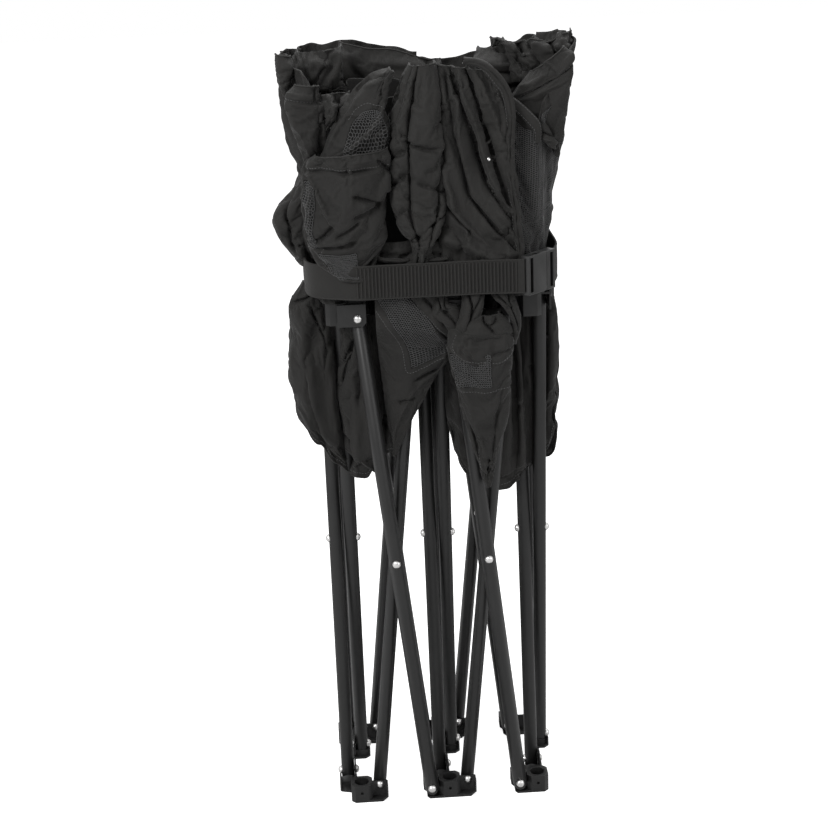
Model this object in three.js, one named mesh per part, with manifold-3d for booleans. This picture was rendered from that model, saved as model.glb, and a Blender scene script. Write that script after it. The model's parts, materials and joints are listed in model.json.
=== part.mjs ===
// Folding camping loveseat, folded and strapped, standing on its six feet.
// Millimetres, +Z up, +X to the right of someone facing the seat, +Y to the rear.
// The origin is the middle of the front centre foot's underside.
import * as THREE from 'three';
import { mergeVertices } from 'three/addons/utils/BufferGeometryUtils.js';
import Module from 'manifold-3d';

const wasm = await Module();
wasm.setup();

// Scissor bars
const barPivotLength = 600;
const foldAngleDegrees = 6;
const tubeDiameter = 16;
const frontTubeDiameter = 17;
const tubeWall = 1.2;
const barEndMargin = 0.6;
const rivetHoleDiameter = 6.2;

// Rivets
const rivetShankDiameter = 5;
const rivetHeadDiameter = 9;
const rivetHeadHeight = 3;
const rivetCrownShare = 0.65;
const spacerDiameter = 8;

// Feet
const lugThickness = 2;
const runningGap = 0.3;
const pivotHeight = 17;
const lugReach = 22.5;
const rearCornerReach = 36;
const sideReach = 41;
const lugMargin = 9.5;
const socketWidth = 26;
const socketBore = 17.6;
const socketChamfer = 5;
const footHeight = 22;
const footFloor = 3;
const footCornerCut = 7;
const footCornerRise = 6;
const sideLugHeight = 29;
const sideLugFlange = 6;
const sideLugCut = 6;
const snapHoleDiameter = 4;

// Upper fittings
const hubPlateDrop = 9;
const hubPlateCut = 4;
const hubRoof = 2.4;
const hubRimHeight = 4.5;
const hubRimWall = 2;
const plugRecess = 3;

// Posts
const postDiameter = 17;
const postWall = 1.2;
const rearPostRise = 248;
const armPostRise = 212;
const crownHeight = 4;
const capHeight = 9;
const capWall = 1.5;

// Cloth
const clothGap = 0.5;
const clothThickness = 7;
const clothEdgeShare = 0.4;
const postWrap = 12.5;
const upperClothHeight = 275;
const lowerBackHeight = 212;
const backFoldDepth = 26;
const armFoldDepth = 34;
const lowerBackFoldDepth = 10;
const bundleHalfWidth = 90;
const bundleFront = 39;
const pocketCentreX = 89;
const pocketWidth = 86;
const pocketThickness = 22;
const pocketHeight = 145;
const pocketRise = 47;
const pouchCentreX = 50;
const pouchWidth = 68;
const pouchThickness = 18;
const pouchDrop = 184;
const seatFoldDepth = 16;
const leftSeatDrop = 215;
const rightSeatDrop = 240;
const leftSeatOverhang = 41;
const rightSeatOverhang = 26;
const centreStripWidth = 26;
const centreStripDrop = 50;
const frontFoldLeft = 55;
const frontFoldRight = 9;
const frontFoldDrop = 166;
const frontFoldBulge = 5;

// Strap and its side release buckle
const strapWidth = 38;
const strapThickness = 1.8;
const strapBottomAboveHub = 28;
const buckleLength = 46;
const buckleHeight = 44;
const buckleThickness = 11;
const buckleWall = 1.8;
const buckleSlot = 5;
const buckleBar = 3.5;
const buckleSplit = 31;
const buckleTurnDegrees = 44;
const buckleOffset = 28;
const buckleShift = 17;
const prongLength = 20;
const prongWidth = 6;
const prongBarb = 2.5;

// Facets and overrun of the cuts
const overrun = 2;
const tubeSides = 12;
const boreSides = 6;
const rivetSides = 6;
const socketSides = 12;
const barEndSegments = 3;
const weldDistance = 1e-4;

// Places that follow from the driving sizes
const foldAngle = THREE.MathUtils.degToRad(foldAngleDegrees);
const spread = barPivotLength * Math.sin(foldAngle);
const rise = barPivotLength * Math.cos(foldAngle);
const frontCornerX = 2 * lugReach + spread;
const rearCornerX = lugReach + spread + rearCornerReach;
const columnX = (frontCornerX + rearCornerX) / 2;
const rowDepth = 2 * sideReach + spread;
const hubPivotZ = pivotHeight + rise;
const midPivotZ = pivotHeight + rise / 2;
const lugFace = lugThickness / 2;
const layerFace = lugFace + runningGap;
const hubRoofLow = frontTubeDiameter / 2 + barEndMargin + runningGap;
const hubTop = hubRoofLow + hubRoof + hubRimHeight;
const capRadius = postDiameter / 2 + runningGap + capWall;
const clothBottom = hubPivotZ + hubTop + clothGap;
const rearPostTop = hubPivotZ + rearPostRise;
const armPostTop = hubPivotZ + armPostRise;
const pocketBottom = hubPivotZ + pocketRise;
const seatTop = hubPivotZ - hubPlateDrop - clothGap;
const backLine = rowDepth + capRadius + runningGap;
const diagonalShare = Math.SQRT1_2;

// Materials

const finish = (color, roughness, metalness) =>
  new THREE.MeshStandardMaterial({ color, roughness, metalness });
const paintedSteel = () => finish(0x1d1d1e, 0.42, 0.35);
const blackPlastic = () => finish(0x161617, 0.5, 0);
const zincPlate = () => finish(0xb9babc, 0.28, 0.9);
const blackCloth = () => finish(0x141415, 0.85, 0);
const blackWebbing = () => finish(0x19191a, 0.75, 0);

// Solid helpers

function toSolid(geometry) {
  const bare = geometry.index ? geometry.toNonIndexed() : geometry.clone();
  bare.deleteAttribute('normal');
  bare.deleteAttribute('uv');
  const merged = mergeVertices(bare, weldDistance);
  const vertProperties = new Float32Array(merged.attributes.position.array);
  const triVerts = new Uint32Array(merged.index.array);
  return new wasm.Manifold(new wasm.Mesh({ numProp: 3, vertProperties, triVerts }));
}

function toGeometry(solid) {
  const mesh = solid.getMesh();
  const geometry = new THREE.BufferGeometry();
  geometry.setAttribute('position', new THREE.BufferAttribute(mesh.vertProperties, 3));
  geometry.setIndex(new THREE.BufferAttribute(mesh.triVerts, 1));
  return geometry;
}

function unite(solids) {
  return solids.reduce((whole, next) => whole.add(next));
}

// A cylinder along one axis, centred at a point
function cylinder(axis, radius, length, centre, sides) {
  const geometry = new THREE.CylinderGeometry(radius, radius, length, sides);
  if (axis === 'x') geometry.rotateZ(Math.PI / 2);
  if (axis === 'z') geometry.rotateX(Math.PI / 2);
  geometry.translate(...centre);
  return toSolid(geometry);
}

// A box between two corners, given in either order
function box(from, to) {
  const size = to.map((value, i) => Math.abs(value - from[i]));
  const geometry = new THREE.BoxGeometry(...size);
  geometry.translate(...to.map((value, i) => (value + from[i]) / 2));
  return toSolid(geometry);
}

const planVectors = (points) => points.map(([u, v]) => new THREE.Vector2(u, v));

// An outline extruded along an axis: its points are X and Z along Y, Y and Z along X, X and Y along Z
function slab(axis, points, from, to) {
  const options = { depth: to - from, bevelEnabled: false };
  const geometry = new THREE.ExtrudeGeometry(new THREE.Shape(planVectors(points)), options);
  geometry.translate(0, 0, axis === 'y' ? -to : from);
  if (axis !== 'z') geometry.rotateX(Math.PI / 2);
  if (axis === 'x') geometry.rotateZ(Math.PI / 2);
  return toSolid(geometry);
}

function part(name, geometry, material) {
  const mesh = new THREE.Mesh(geometry, material);
  mesh.name = name;
  return mesh;
}

// Tubes

function tube(outerRadius, innerRadius, length) {
  const outer = cylinder('z', outerRadius, length, [0, 0, length / 2], tubeSides);
  const bore = cylinder('z', innerRadius, length + 2 * overrun, [0, 0, length / 2], boreSides);
  return outer.subtract(bore);
}

// A bar stands along Z with its lower rivet at the origin and its rivets along Y. Both ends are rounded.
function barGeometry(diameter) {
  const radius = diameter / 2;
  const endRadius = radius + barEndMargin;
  const body = tube(radius, radius - tubeWall, barPivotLength + 2 * endRadius).translate([0, 0, -endRadius]);
  const outline = new THREE.Shape();
  outline.absarc(0, 0, endRadius, Math.PI, 2 * Math.PI);
  outline.absarc(0, barPivotLength, endRadius, 0, Math.PI);
  const stadium = new THREE.ExtrudeGeometry(outline, {
    depth: diameter + 2 * overrun,
    bevelEnabled: false,
    curveSegments: barEndSegments,
  });
  stadium.rotateX(Math.PI / 2);
  stadium.translate(0, radius + overrun, 0);
  const holes = [0, barPivotLength / 2, barPivotLength].map((z) =>
    cylinder('y', rivetHoleDiameter / 2, diameter + 2 * overrun, [0, 0, z], rivetSides));
  return toGeometry(body.intersect(toSolid(stadium)).subtract(unite(holes)));
}

const barShapes = {
  [frontTubeDiameter]: barGeometry(frontTubeDiameter),
  [tubeDiameter]: barGeometry(tubeDiameter),
};

// A bar that leans along X from the foot pivot at footX, on one side of the row at rowY
function rowBar(name, { footX, rowY, side, diameter, direction }) {
  const mesh = part(name, barShapes[diameter].clone(), paintedSteel());
  mesh.position.set(footX, rowY + side * (layerFace + diameter / 2), pivotHeight);
  mesh.rotation.y = direction * foldAngle;
  return mesh;
}

// A bar that leans along Y from the foot pivot at footY, on one side of the column plane
function sideBar(name, { planeX, footY, side, direction }) {
  const mesh = part(name, barShapes[tubeDiameter].clone(), paintedSteel());
  mesh.position.set(planeX + side * (layerFace + tubeDiameter / 2), footY, pivotHeight);
  mesh.rotation.set(-direction * foldAngle, 0, Math.PI / 2);
  return mesh;
}

// Rivets

function headProfile(from, outward) {
  const radius = rivetHeadDiameter / 2;
  return [
    [radius, from],
    [radius * rivetCrownShare, from + outward * rivetHeadHeight],
    [0, from + outward * rivetHeadHeight],
  ];
}

const lathe = (points, sides) => new THREE.LatheGeometry(planVectors(points), sides);

// The rivet at the crossing of two bars: a head on each outer face and a spacer between the tubes
function crossingRivetGeometry(nearDiameter) {
  const lead = -(layerFace + nearDiameter + runningGap);
  const tail = layerFace + tubeDiameter + runningGap;
  const shank = rivetShankDiameter / 2;
  const spacer = spacerDiameter / 2;
  return lathe([
    ...headProfile(lead, -1).reverse(),
    [shank, lead],
    [shank, -lugFace],
    [spacer, -lugFace],
    [spacer, lugFace],
    [shank, lugFace],
    [shank, tail],
    ...headProfile(tail, 1),
  ], rivetSides);
}

function rowRivet(name, nearDiameter, x, y) {
  const mesh = part(name, crossingRivetGeometry(nearDiameter), zincPlate());
  mesh.position.set(x, y, midPivotZ);
  return mesh;
}

function sideRivet(name, planeX) {
  const mesh = part(name, crossingRivetGeometry(tubeDiameter), zincPlate());
  mesh.position.set(planeX, rowDepth / 2, midPivotZ);
  mesh.rotation.z = -Math.PI / 2;
  return mesh;
}

// The rivet at the end of a bar, from its head behind the lug to its head beyond what it passes through
function endRivet(axis, side, passes, centre) {
  const shank = rivetShankDiameter / 2;
  const from = -lugFace;
  const to = lugFace + passes;
  const geometry = lathe([
    ...headProfile(from, -1).reverse(),
    [shank, from],
    [shank, to],
    ...headProfile(to, 1),
  ], rivetSides);
  if (side < 0) geometry.rotateX(Math.PI);
  if (axis === 'x') geometry.rotateZ(-Math.PI / 2);
  geometry.translate(...centre);
  return toSolid(geometry);
}

// Feet. Each has its post socket at its own origin. A row lug reaches along X to the bars of its row and
// a side lug reaches along Y to the bars of its column. Each bar lies on one side of its lug.

const turned = (points, direction) => points.map(([u, v]) => [direction * u, v]);

function socketOutline() {
  const half = socketWidth / 2;
  const flat = half - socketChamfer;
  return [
    [-flat, -half],
    [flat, -half],
    [half, -flat],
    [half, flat],
    [flat, half],
    [-flat, half],
    [-half, flat],
    [-half, -flat],
  ];
}

function footRowLug({ direction, reach, side, diameter }) {
  const half = socketWidth / 2;
  const end = reach + lugMargin;
  const toe = end - footCornerCut;
  const plateOutline = [[0, 0], [toe, 0], [end, footCornerRise], [end, footHeight], [0, footHeight]];
  const plate = slab('y', turned(plateOutline, direction), -lugFace, lugFace);
  const floorEnd = toe + footCornerCut * footFloor / footCornerRise;
  const floorOutline = [[0, 0], [toe, 0], [floorEnd, footFloor], [0, footFloor]];
  const floor = slab('y', turned(floorOutline, direction), -half, half);
  const ribOutline = [
    [toe, 0],
    [end, footCornerRise],
    [end, footHeight],
    [end - lugThickness, footHeight],
    [end - lugThickness, footCornerRise + lugFace],
    [toe - lugFace, footFloor],
    [toe - lugThickness, footFloor / 2],
  ];
  const [ribFrom, ribTo] = side > 0 ? [-half, 0] : [0, half];
  const rib = slab('y', turned(ribOutline, direction), ribFrom, ribTo);
  const rivet = endRivet('y', side, 2 * runningGap + diameter, [direction * reach, 0, pivotHeight]);
  return unite([plate, floor, rib, rivet]);
}

function footSideLug({ direction, offset, side }) {
  const end = sideReach + lugMargin;
  const start = socketWidth / 2 - lugThickness;
  const plateOutline = [
    [start, 0],
    [end - sideLugCut, 0],
    [end, sideLugCut],
    [end, sideLugHeight - sideLugCut],
    [end - sideLugCut, sideLugHeight],
    [sideReach - sideLugCut, sideLugHeight],
    [start, footHeight],
  ];
  const plate = slab('x', turned(plateOutline, direction), offset - lugFace, offset + lugFace);
  const flange = box(
    [offset - sideLugFlange, direction * start, 0],
    [offset + sideLugFlange, direction * (end - sideLugCut), footFloor]);
  const centre = [offset, direction * sideReach, pivotHeight];
  const rivet = endRivet('x', side, 2 * runningGap + tubeDiameter, centre);
  return unite([plate, flange, rivet]);
}

function foot(name, x, y, rowLugs, sideLug) {
  const block = slab('z', socketOutline(), 0, footHeight);
  const depth = footHeight - footFloor + overrun;
  const bore = cylinder('z', socketBore / 2, depth, [0, 0, footFloor + depth / 2], socketSides);
  const snapHeight = (footHeight + footFloor) / 2;
  const snapCentre = [0, -socketWidth / 2, snapHeight];
  const snap = cylinder('y', snapHoleDiameter / 2, socketWidth, snapCentre, rivetSides);
  const solid = unite([block, ...rowLugs.map(footRowLug), footSideLug(sideLug)]);
  const mesh = part(name, toGeometry(solid.subtract(bore).subtract(snap)), blackPlastic());
  mesh.position.set(x, y, 0);
  return mesh;
}

// Upper fittings. A clevis plate lies on each side of a bar's end, under a tray that is open at the top.

function clevis({ axis, direction, start, reach, offset, side, diameter }) {
  const end = reach + lugMargin;
  const passes = 2 * runningGap + diameter + lugThickness;
  const outline = turned([
    [start, -hubPlateDrop],
    [end - hubPlateCut, -hubPlateDrop],
    [end, hubPlateCut - hubPlateDrop],
    [end, hubTop],
    [start, hubTop],
  ], direction);
  const inner = slab(axis, outline, offset - lugFace, offset + lugFace);
  const outerFace = offset + side * (lugFace + passes);
  const outerInside = outerFace - side * lugThickness;
  const [low, high] = side > 0 ? [outerInside, outerFace] : [outerFace, outerInside];
  const outer = slab(axis, outline, low, high);
  const corner = (u, v, z) => (axis === 'y' ? [direction * u, v, z] : [v, direction * u, z]);
  const tray = box(corner(start, offset, hubRoofLow), corner(end, outerFace, hubTop));
  const hollow = box(
    corner(start, offset + side * lugFace, hubRoofLow + hubRoof),
    corner(end - hubRimWall, outerInside, hubTop + overrun));
  const centre = axis === 'y' ? [direction * reach, offset, 0] : [offset, direction * reach, 0];
  return unite([tray, inner, outer, endRivet(axis, side, passes, centre)]).subtract(hollow);
}

const rowClevis = (options) => clevis({ axis: 'y', start: 0, offset: 0, ...options });
const sideShape = {
  axis: 'x',
  start: socketWidth / 2 - lugThickness,
  reach: sideReach,
  diameter: tubeDiameter,
};
const sideClevis = (options) => clevis({ ...sideShape, ...options });

// The socket goes through for a sliding post, holds a fixed post, or is closed by a plug
function hub(name, x, y, rowLugs, sideLug, socket) {
  const block = slab('z', socketOutline(), -hubPlateDrop, hubTop);
  const solid = unite([...rowLugs.map(rowClevis), sideClevis(sideLug), block]);
  const floors = {
    through: -hubPlateDrop - overrun,
    blind: hubRoof - hubPlateDrop,
    plugged: hubTop - plugRecess,
  };
  const from = floors[socket];
  const depth = hubTop + overrun - from;
  const bore = cylinder('z', socketBore / 2, depth, [0, 0, from + depth / 2], socketSides);
  const mesh = part(name, toGeometry(solid.subtract(bore)), blackPlastic());
  mesh.position.set(x, y, hubPivotZ);
  return mesh;
}

// Posts

function rearPost(name, x) {
  const bottom = footFloor + runningGap;
  const geometry = toGeometry(tube(postDiameter / 2, postDiameter / 2 - postWall, rearPostTop - bottom));
  const mesh = part(name, geometry, paintedSteel());
  mesh.position.set(x, rowDepth, bottom);
  return mesh;
}

// The arm post is a tube whose upper end is closed by a rounded crown
function armPost(name, x) {
  const outer = postDiameter / 2;
  const inner = outer - postWall;
  const bottom = hubPivotZ - hubPlateDrop + hubRoof + runningGap;
  const shoulder = armPostTop - bottom - crownHeight;
  const geometry = lathe([
    [0, shoulder],
    [inner, shoulder],
    [inner, 0],
    [outer, 0],
    [outer, shoulder],
    [inner, shoulder + crownHeight / 2],
    [0, shoulder + crownHeight],
  ], tubeSides);
  geometry.rotateX(Math.PI / 2);
  const mesh = part(name, geometry, paintedSteel());
  mesh.position.set(x, 0, bottom);
  return mesh;
}

// A moulded cap over the end of a rear post
function postCap(name, x) {
  const inner = postDiameter / 2 + runningGap;
  const geometry = lathe([
    [0, runningGap],
    [inner, runningGap],
    [inner, -capHeight],
    [capRadius, -capHeight],
    [capRadius, runningGap + capWall],
    [inner, runningGap + 2 * capWall],
    [0, runningGap + 2 * capWall],
  ], tubeSides);
  geometry.rotateX(Math.PI / 2);
  const mesh = part(name, geometry, blackPlastic());
  mesh.position.set(x, rowDepth, rearPostTop);
  return mesh;
}

// Cloth. A sheet hangs from a path seen from above. Its folds push it to the right of the path, and its
// thickness lies to the right as well. Tables run evenly along the path, or from its top edge down.

// The value at a place from 0 to 1 along a table of evenly spaced values, eased from each to the next
function level(table, place) {
  const last = table.length - 1;
  const i = Math.min(Math.floor(place * last), last - 1);
  return THREE.MathUtils.lerp(table[i], table[i + 1], THREE.MathUtils.smoothstep(place * last - i, 0, 1));
}

const crown = (place) => clothEdgeShare + (1 - clothEdgeShare) * Math.sin(Math.PI * place);
const evenShares = [1, 1];

function sheetGeometry({
  path,
  top,
  bottom,
  foldShares = evenShares,
  bulgeShares = evenShares,
  widthShares = evenShares,
  foldDepth = 0,
  lean = 0,
  thickness = clothThickness,
  columns,
  rows,
}) {
  const plan = new THREE.SplineCurve(planVectors(path));
  const middle = plan.getPoint(1 / 2).x;
  const layer = (depth) => {
    const positions = [];
    for (let j = 0; j <= rows; j += 1) {
      for (let i = 0; i <= columns; i += 1) {
        const [s, t] = [i / columns, j / rows];
        const point = plan.getPoint(s);
        const heading = plan.getTangent(s);
        const push = foldDepth * level(foldShares, s) * level(bulgeShares, t) + depth * crown(s) * crown(t);
        const x = middle + (point.x - middle) * level(widthShares, t) + heading.y * push;
        const z = level(top, s) * (1 - t) + level(bottom, s) * t;
        positions.push(x, point.y - heading.x * push + lean * (hubPivotZ - z), z);
      }
    }
    return positions;
  };
  const positions = [...layer(0), ...layer(thickness)];
  const across = columns + 1;
  const outer = across * (rows + 1);
  const index = [];
  const quad = (a, b, c, d) => index.push(a, b, c, a, c, d);
  for (let j = 0; j < rows; j += 1) {
    for (let i = 0; i < columns; i += 1) {
      const a = j * across + i;
      const d = a + across;
      quad(a, a + 1, d + 1, d);
      quad(outer + a, outer + d, outer + d + 1, outer + a + 1);
    }
    const first = j * across;
    const last = first + columns;
    quad(first, first + across, outer + first + across, outer + first);
    quad(last, outer + last, outer + last + across, last + across);
  }
  for (let i = 0; i < columns; i += 1) {
    const low = rows * across + i;
    quad(i, outer + i, outer + i + 1, i + 1);
    quad(low, low + 1, outer + low + 1, outer + low);
  }
  const geometry = new THREE.BufferGeometry();
  geometry.setAttribute('position', new THREE.BufferAttribute(new Float32Array(positions), 3));
  geometry.setIndex(index);
  return geometry;
}

const sheet = (name, options) => part(name, sheetGeometry(options), blackCloth());
const ordered = (list, flipped) => (flipped ? [...list].reverse() : list);
const heights = (base, height, shares) => shares.map((share) => base + height * share);

// Above the strap the left side bulges, the right side narrows, and under the strap both are drawn in
const leftBulgeShares = [0.85, 0.8, 0.72, 0.62, 0.48, 0.38, 0.62, 1.1, 0.12, 0.08, 0.15];
const rightBulgeShares = [1.05, 0.95, 0.85, 0.7, 0.55, 0.4, 0.28, 0.25, 0.1, 0.08, 0.15];

function backSheet(name, hand) {
  const thirdShares = [2 / 3, 1 / 3];
  const path = [
    [rearCornerX + postWrap, rowDepth - postWrap],
    [rearCornerX + postWrap, rowDepth],
    [rearCornerX + postWrap * diagonalShare, rowDepth + postWrap * diagonalShare],
    [rearCornerX, backLine],
    ...thirdShares.map((share) => [rearCornerX * share, backLine]),
    [clothGap, backLine],
  ].map(([x, y]) => [hand * x, y]);
  const topShares = [0.94, 0.98, 0.97, 0.95, 0.95, 0.91, 0.86];
  const bottomShares = [0, 0, 0.01, 0, 0.02, 0, 0.01];
  const foldShares = [0, 0.6, 0.9, 0.6, 0.1, 0.7, 1, 0.5, 0, 0.6, 0.9, 0.5, 0];
  const flipped = hand < 0;
  return sheet(name, {
    path: ordered(path, flipped),
    top: heights(clothBottom, upperClothHeight, ordered(topShares, flipped)),
    bottom: heights(clothBottom, upperClothHeight, ordered(bottomShares, flipped)),
    foldShares: ordered(foldShares, flipped),
    bulgeShares: flipped ? leftBulgeShares : rightBulgeShares,
    foldDepth: backFoldDepth,
    columns: 15,
    rows: 10,
  });
}

function lowerBackSheet(name, hand) {
  const line = rowDepth - postDiameter / 2 - runningGap;
  const placeShares = [1 / 4, 1 / 2, 3 / 4, 1];
  const path = [[clothGap, line], ...placeShares.map((share) => [rearCornerX * share, line])];
  const topShares = [1, 0.96, 0.98, 0.95, 0.97];
  const foldShares = [0, 1, 0.1, 1, 0];
  const flipped = hand < 0;
  return sheet(name, {
    path: ordered(path.map(([x, y]) => [hand * x, y]), flipped),
    top: heights(clothBottom, lowerBackHeight, ordered(topShares, flipped)),
    bottom: [clothBottom, clothBottom],
    foldShares: ordered(foldShares, flipped),
    foldDepth: lowerBackFoldDepth,
    columns: 10,
    rows: 2,
  });
}

// The arm cloth goes round the arm post and along the side to the rear post
function armPath() {
  const sideShares = [0.3, 0.6];
  return [
    [frontCornerX, -postWrap],
    [frontCornerX + postWrap * diagonalShare, -postWrap * diagonalShare],
    [frontCornerX + postWrap, 0],
    ...sideShares.map((share) => [columnX + postWrap, rowDepth * share]),
    [rearCornerX + postWrap, rowDepth - postWrap - 2 * clothGap],
  ];
}

function rightArmSheet(name) {
  const topShares = [0.74, 0.75, 0.78, 0.88, 0.99, 1, 0.96];
  const foldShares = [0, 0.05, 0.1, 0.1, 0.1, 0.2, 0.3, 0.8, 1, 0.6, 0.9, 0.5, 0];
  return sheet(name, {
    path: [[frontCornerX - lugReach, -postWrap], ...armPath()],
    top: heights(clothBottom, upperClothHeight, topShares),
    bottom: [clothBottom, clothBottom],
    foldShares,
    bulgeShares: rightBulgeShares,
    foldDepth: armFoldDepth,
    columns: 14,
    rows: 10,
  });
}

// On the left the cloth ends in a front flap above the cup pocket
function leftArmSheet(name) {
  const flapShares = [0.37, 0.67, 0.9];
  const flapLines = [-bundleFront, -bundleFront, -postWrap];
  const flapPath = flapShares.map((share, i) => [frontCornerX * share, flapLines[i]]);
  const topShares = [0.93, 0.88, 0.78, 0.72, 0.8, 0.92, 0.96, 0.97, 0.95];
  const bottomShares = [0.66, 0.66, 0.66, 0.66, 0, 0, 0, 0, 0];
  const foldShares = [0, 0, 0, 0, 0, 0.05, 0.1, 0.1, 0.15, 0.3, 0.5, 0.9, 1, 0.7, 0.9, 0.5, 0];
  return sheet(name, {
    path: ordered([...flapPath, ...armPath()].map(([x, y]) => [-x, y]), true),
    top: heights(clothBottom, upperClothHeight, ordered(topShares, true)),
    bottom: heights(clothBottom, upperClothHeight, ordered(bottomShares, true)),
    foldShares: ordered(foldShares, true),
    bulgeShares: leftBulgeShares,
    foldDepth: armFoldDepth,
    columns: 20,
    rows: 10,
  });
}

// The middle of the back lies in runs from side to side, one behind the other
function centreBundle(name) {
  const runShares = [
    [-0.38, -0.75], [-0.2, -1], [0.05, -1], [0.16, -0.72], [0.28, -1], [0.45, -0.78], [0.6, -1],
    [0.76, -0.85], [0.82, -0.5], [0.7, -0.1], [0.3, 0], [-0.3, 0.1], [-0.85, 0.35], [-0.95, 0.8],
    [-0.6, 1.1], [0.2, 1.1], [0.85, 1.2], [0.95, 1.6], [0.6, 1.95], [-0.2, 2], [-0.9, 2.1],
  ];
  const topShares = [0.92, 0.94, 0.93, 0.88, 0.93, 0.92, 0.93, 0.86, 0.84, 0.9, 0.92, 0.9, 0.86, 0.88, 0.9];
  return sheet(name, {
    path: runShares.map(([across, back]) => [across * bundleHalfWidth, back * bundleFront]),
    top: heights(clothBottom, upperClothHeight, topShares),
    bottom: [clothBottom, clothBottom],
    columns: 42,
    rows: 3,
  });
}

function cupPocket(name) {
  const restShare = 0.055;
  const back = -(postWrap + clothThickness + armFoldDepth * restShare + clothGap);
  const half = pocketWidth / 2;
  return sheet(name, {
    path: [[-pocketCentreX - half, back], [-pocketCentreX, back], [-pocketCentreX + half, back]],
    top: [pocketBottom + pocketHeight, pocketBottom + pocketHeight],
    bottom: [pocketBottom, pocketBottom],
    widthShares: [1, 1, 1.02, 0.95, 0.7, 0.42],
    thickness: pocketThickness,
    columns: 8,
    rows: 6,
  });
}

function pouch(name) {
  const back = -(lugFace + 2 * runningGap + frontTubeDiameter + lugThickness + rivetHeadHeight + runningGap);
  const half = pouchWidth / 2;
  return sheet(name, {
    path: [[pouchCentreX - half, back], [pouchCentreX, back], [pouchCentreX + half, back]],
    top: [hubPivotZ, hubPivotZ],
    bottom: [hubPivotZ - pouchDrop, hubPivotZ - pouchDrop],
    widthShares: [1, 1, 0.98, 0.92, 0.8, 0.55, 0.22],
    thickness: pouchThickness,
    columns: 8,
    rows: 6,
  });
}

// Half of the seat hangs from each row of upper fittings, just before the side bars and leaning with them
function seatLeaf(name, { row, hand, overhang, drop, columns, rows }) {
  const line = sideReach - tubeDiameter / 2 - clothGap;
  const start = centreStripWidth / 2 + clothGap;
  const placeShares = [0.25, 0.5, 0.75, 1];
  const curlShares = [[0.75, 0], [1, 0.07], [0.98, 0.17]];
  const path = [
    [start, line],
    ...placeShares.map((share) => [columnX * share, line]),
    ...curlShares.map(([out, back]) => [columnX + overhang * out, line + rowDepth * back]),
  ].map(([x, y]) => [hand * x, row === 'rear' ? rowDepth - y : y]);
  const dropShares = [0.3, 0.58, 0.86, 1, 0.88, 0.67, 0.54, 0.4];
  const foldShares = [0, 0.4, 0.8, 1, 0.4, 0.1, 0.7, 1, 0.5, 0.1, 0.2, 0.5, 0.4, 0.2, 0];
  const flipped = (hand < 0) !== (row === 'rear');
  return sheet(name, {
    path: ordered(path, flipped),
    top: [seatTop, seatTop],
    bottom: heights(seatTop, -drop, ordered(dropShares, flipped)),
    foldShares: ordered(foldShares, flipped),
    bulgeShares: [0, 0.3, 0.7, 1, 1, 0.8, 0.5],
    foldDepth: seatFoldDepth,
    lean: Math.tan(foldAngle) * (row === 'rear' ? -1 : 1),
    columns,
    rows,
  });
}

function seatCentreStrip(name, row) {
  const line = sideReach - tubeDiameter / 2 - clothGap;
  const half = centreStripWidth / 2;
  const y = row === 'rear' ? rowDepth - line : line;
  const flipped = row === 'rear';
  return sheet(name, {
    path: ordered([[-half, y], [0, y], [half, y]], flipped),
    top: [seatTop, seatTop],
    bottom: [seatTop - centreStripDrop, seatTop - centreStripDrop],
    lean: Math.tan(foldAngle) * (flipped ? -1 : 1),
    columns: 4,
    rows: 2,
  });
}

// A fold of the left seat half comes forward between the crossing front bars
function frontFold(name) {
  const placeShares = [0, 0.2, 0.6, 1];
  const dropShares = [0.6, 1, 0.7, 0.26];
  const line = layerFace - clothGap;
  const width = frontFoldLeft + frontFoldRight;
  return sheet(name, {
    path: placeShares.map((share) => [-frontFoldLeft + width * share, line]),
    top: [seatTop, seatTop],
    bottom: heights(seatTop, -frontFoldDrop, dropShares),
    foldShares: [0, 1, 0.2, 1, 0],
    bulgeShares: [0, 1, 0.6],
    foldDepth: frontFoldBulge,
    columns: 8,
    rows: 4,
  });
}

// Strap and buckle. The strap runs from one half of the buckle round the bundle to the other half.

const strapBottom = hubPivotZ + strapBottomAboveHub;
const strapMiddle = strapBottom + strapWidth / 2;
const buckleTurn = THREE.MathUtils.degToRad(buckleTurnDegrees);
const buckleCentre = [
  frontCornerX + buckleOffset * Math.sin(buckleTurn) - buckleShift * Math.cos(buckleTurn),
  -buckleOffset * Math.cos(buckleTurn) - buckleShift * Math.sin(buckleTurn),
];

function buckleEnd(direction) {
  const reach = direction * (buckleLength / 2 + runningGap);
  return [
    buckleCentre[0] + reach * Math.cos(buckleTurn),
    buckleCentre[1] + reach * Math.sin(buckleTurn),
  ];
}

function strap(name) {
  const around = postWrap + clothThickness;
  const pressedShare = 0.57;
  const side = rearCornerX + around;
  const front = -(bundleFront + clothThickness * pressedShare + clothGap);
  const rear = [side, rearCornerX + around * diagonalShare, rearCornerX];
  const rearY = [rowDepth, rowDepth + around * diagonalShare, rowDepth + around];
  const sideShares = [0.15, 0.6];
  const corner = rear.map((x, i) => [x, rearY[i]]);
  const right = [...sideShares.map((share) => [side, rowDepth * share]), ...corner];
  const left = ordered(right.map(([x, y]) => [-x, y]), true);
  const frontShares = [-0.8, -0.5, 0, 0.5];
  const path = [
    buckleEnd(1),
    ...right,
    [0, rowDepth + around],
    ...left,
    [-side + around / 2, front / 2],
    ...frontShares.map((share) => [share * frontCornerX, front]),
    buckleEnd(-1),
  ];
  return part(name, sheetGeometry({
    path,
    top: [strapBottom + strapWidth, strapBottom + strapWidth],
    bottom: [strapBottom, strapBottom],
    thickness: strapThickness,
    columns: 60,
    rows: 1,
  }), blackWebbing());
}

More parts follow.
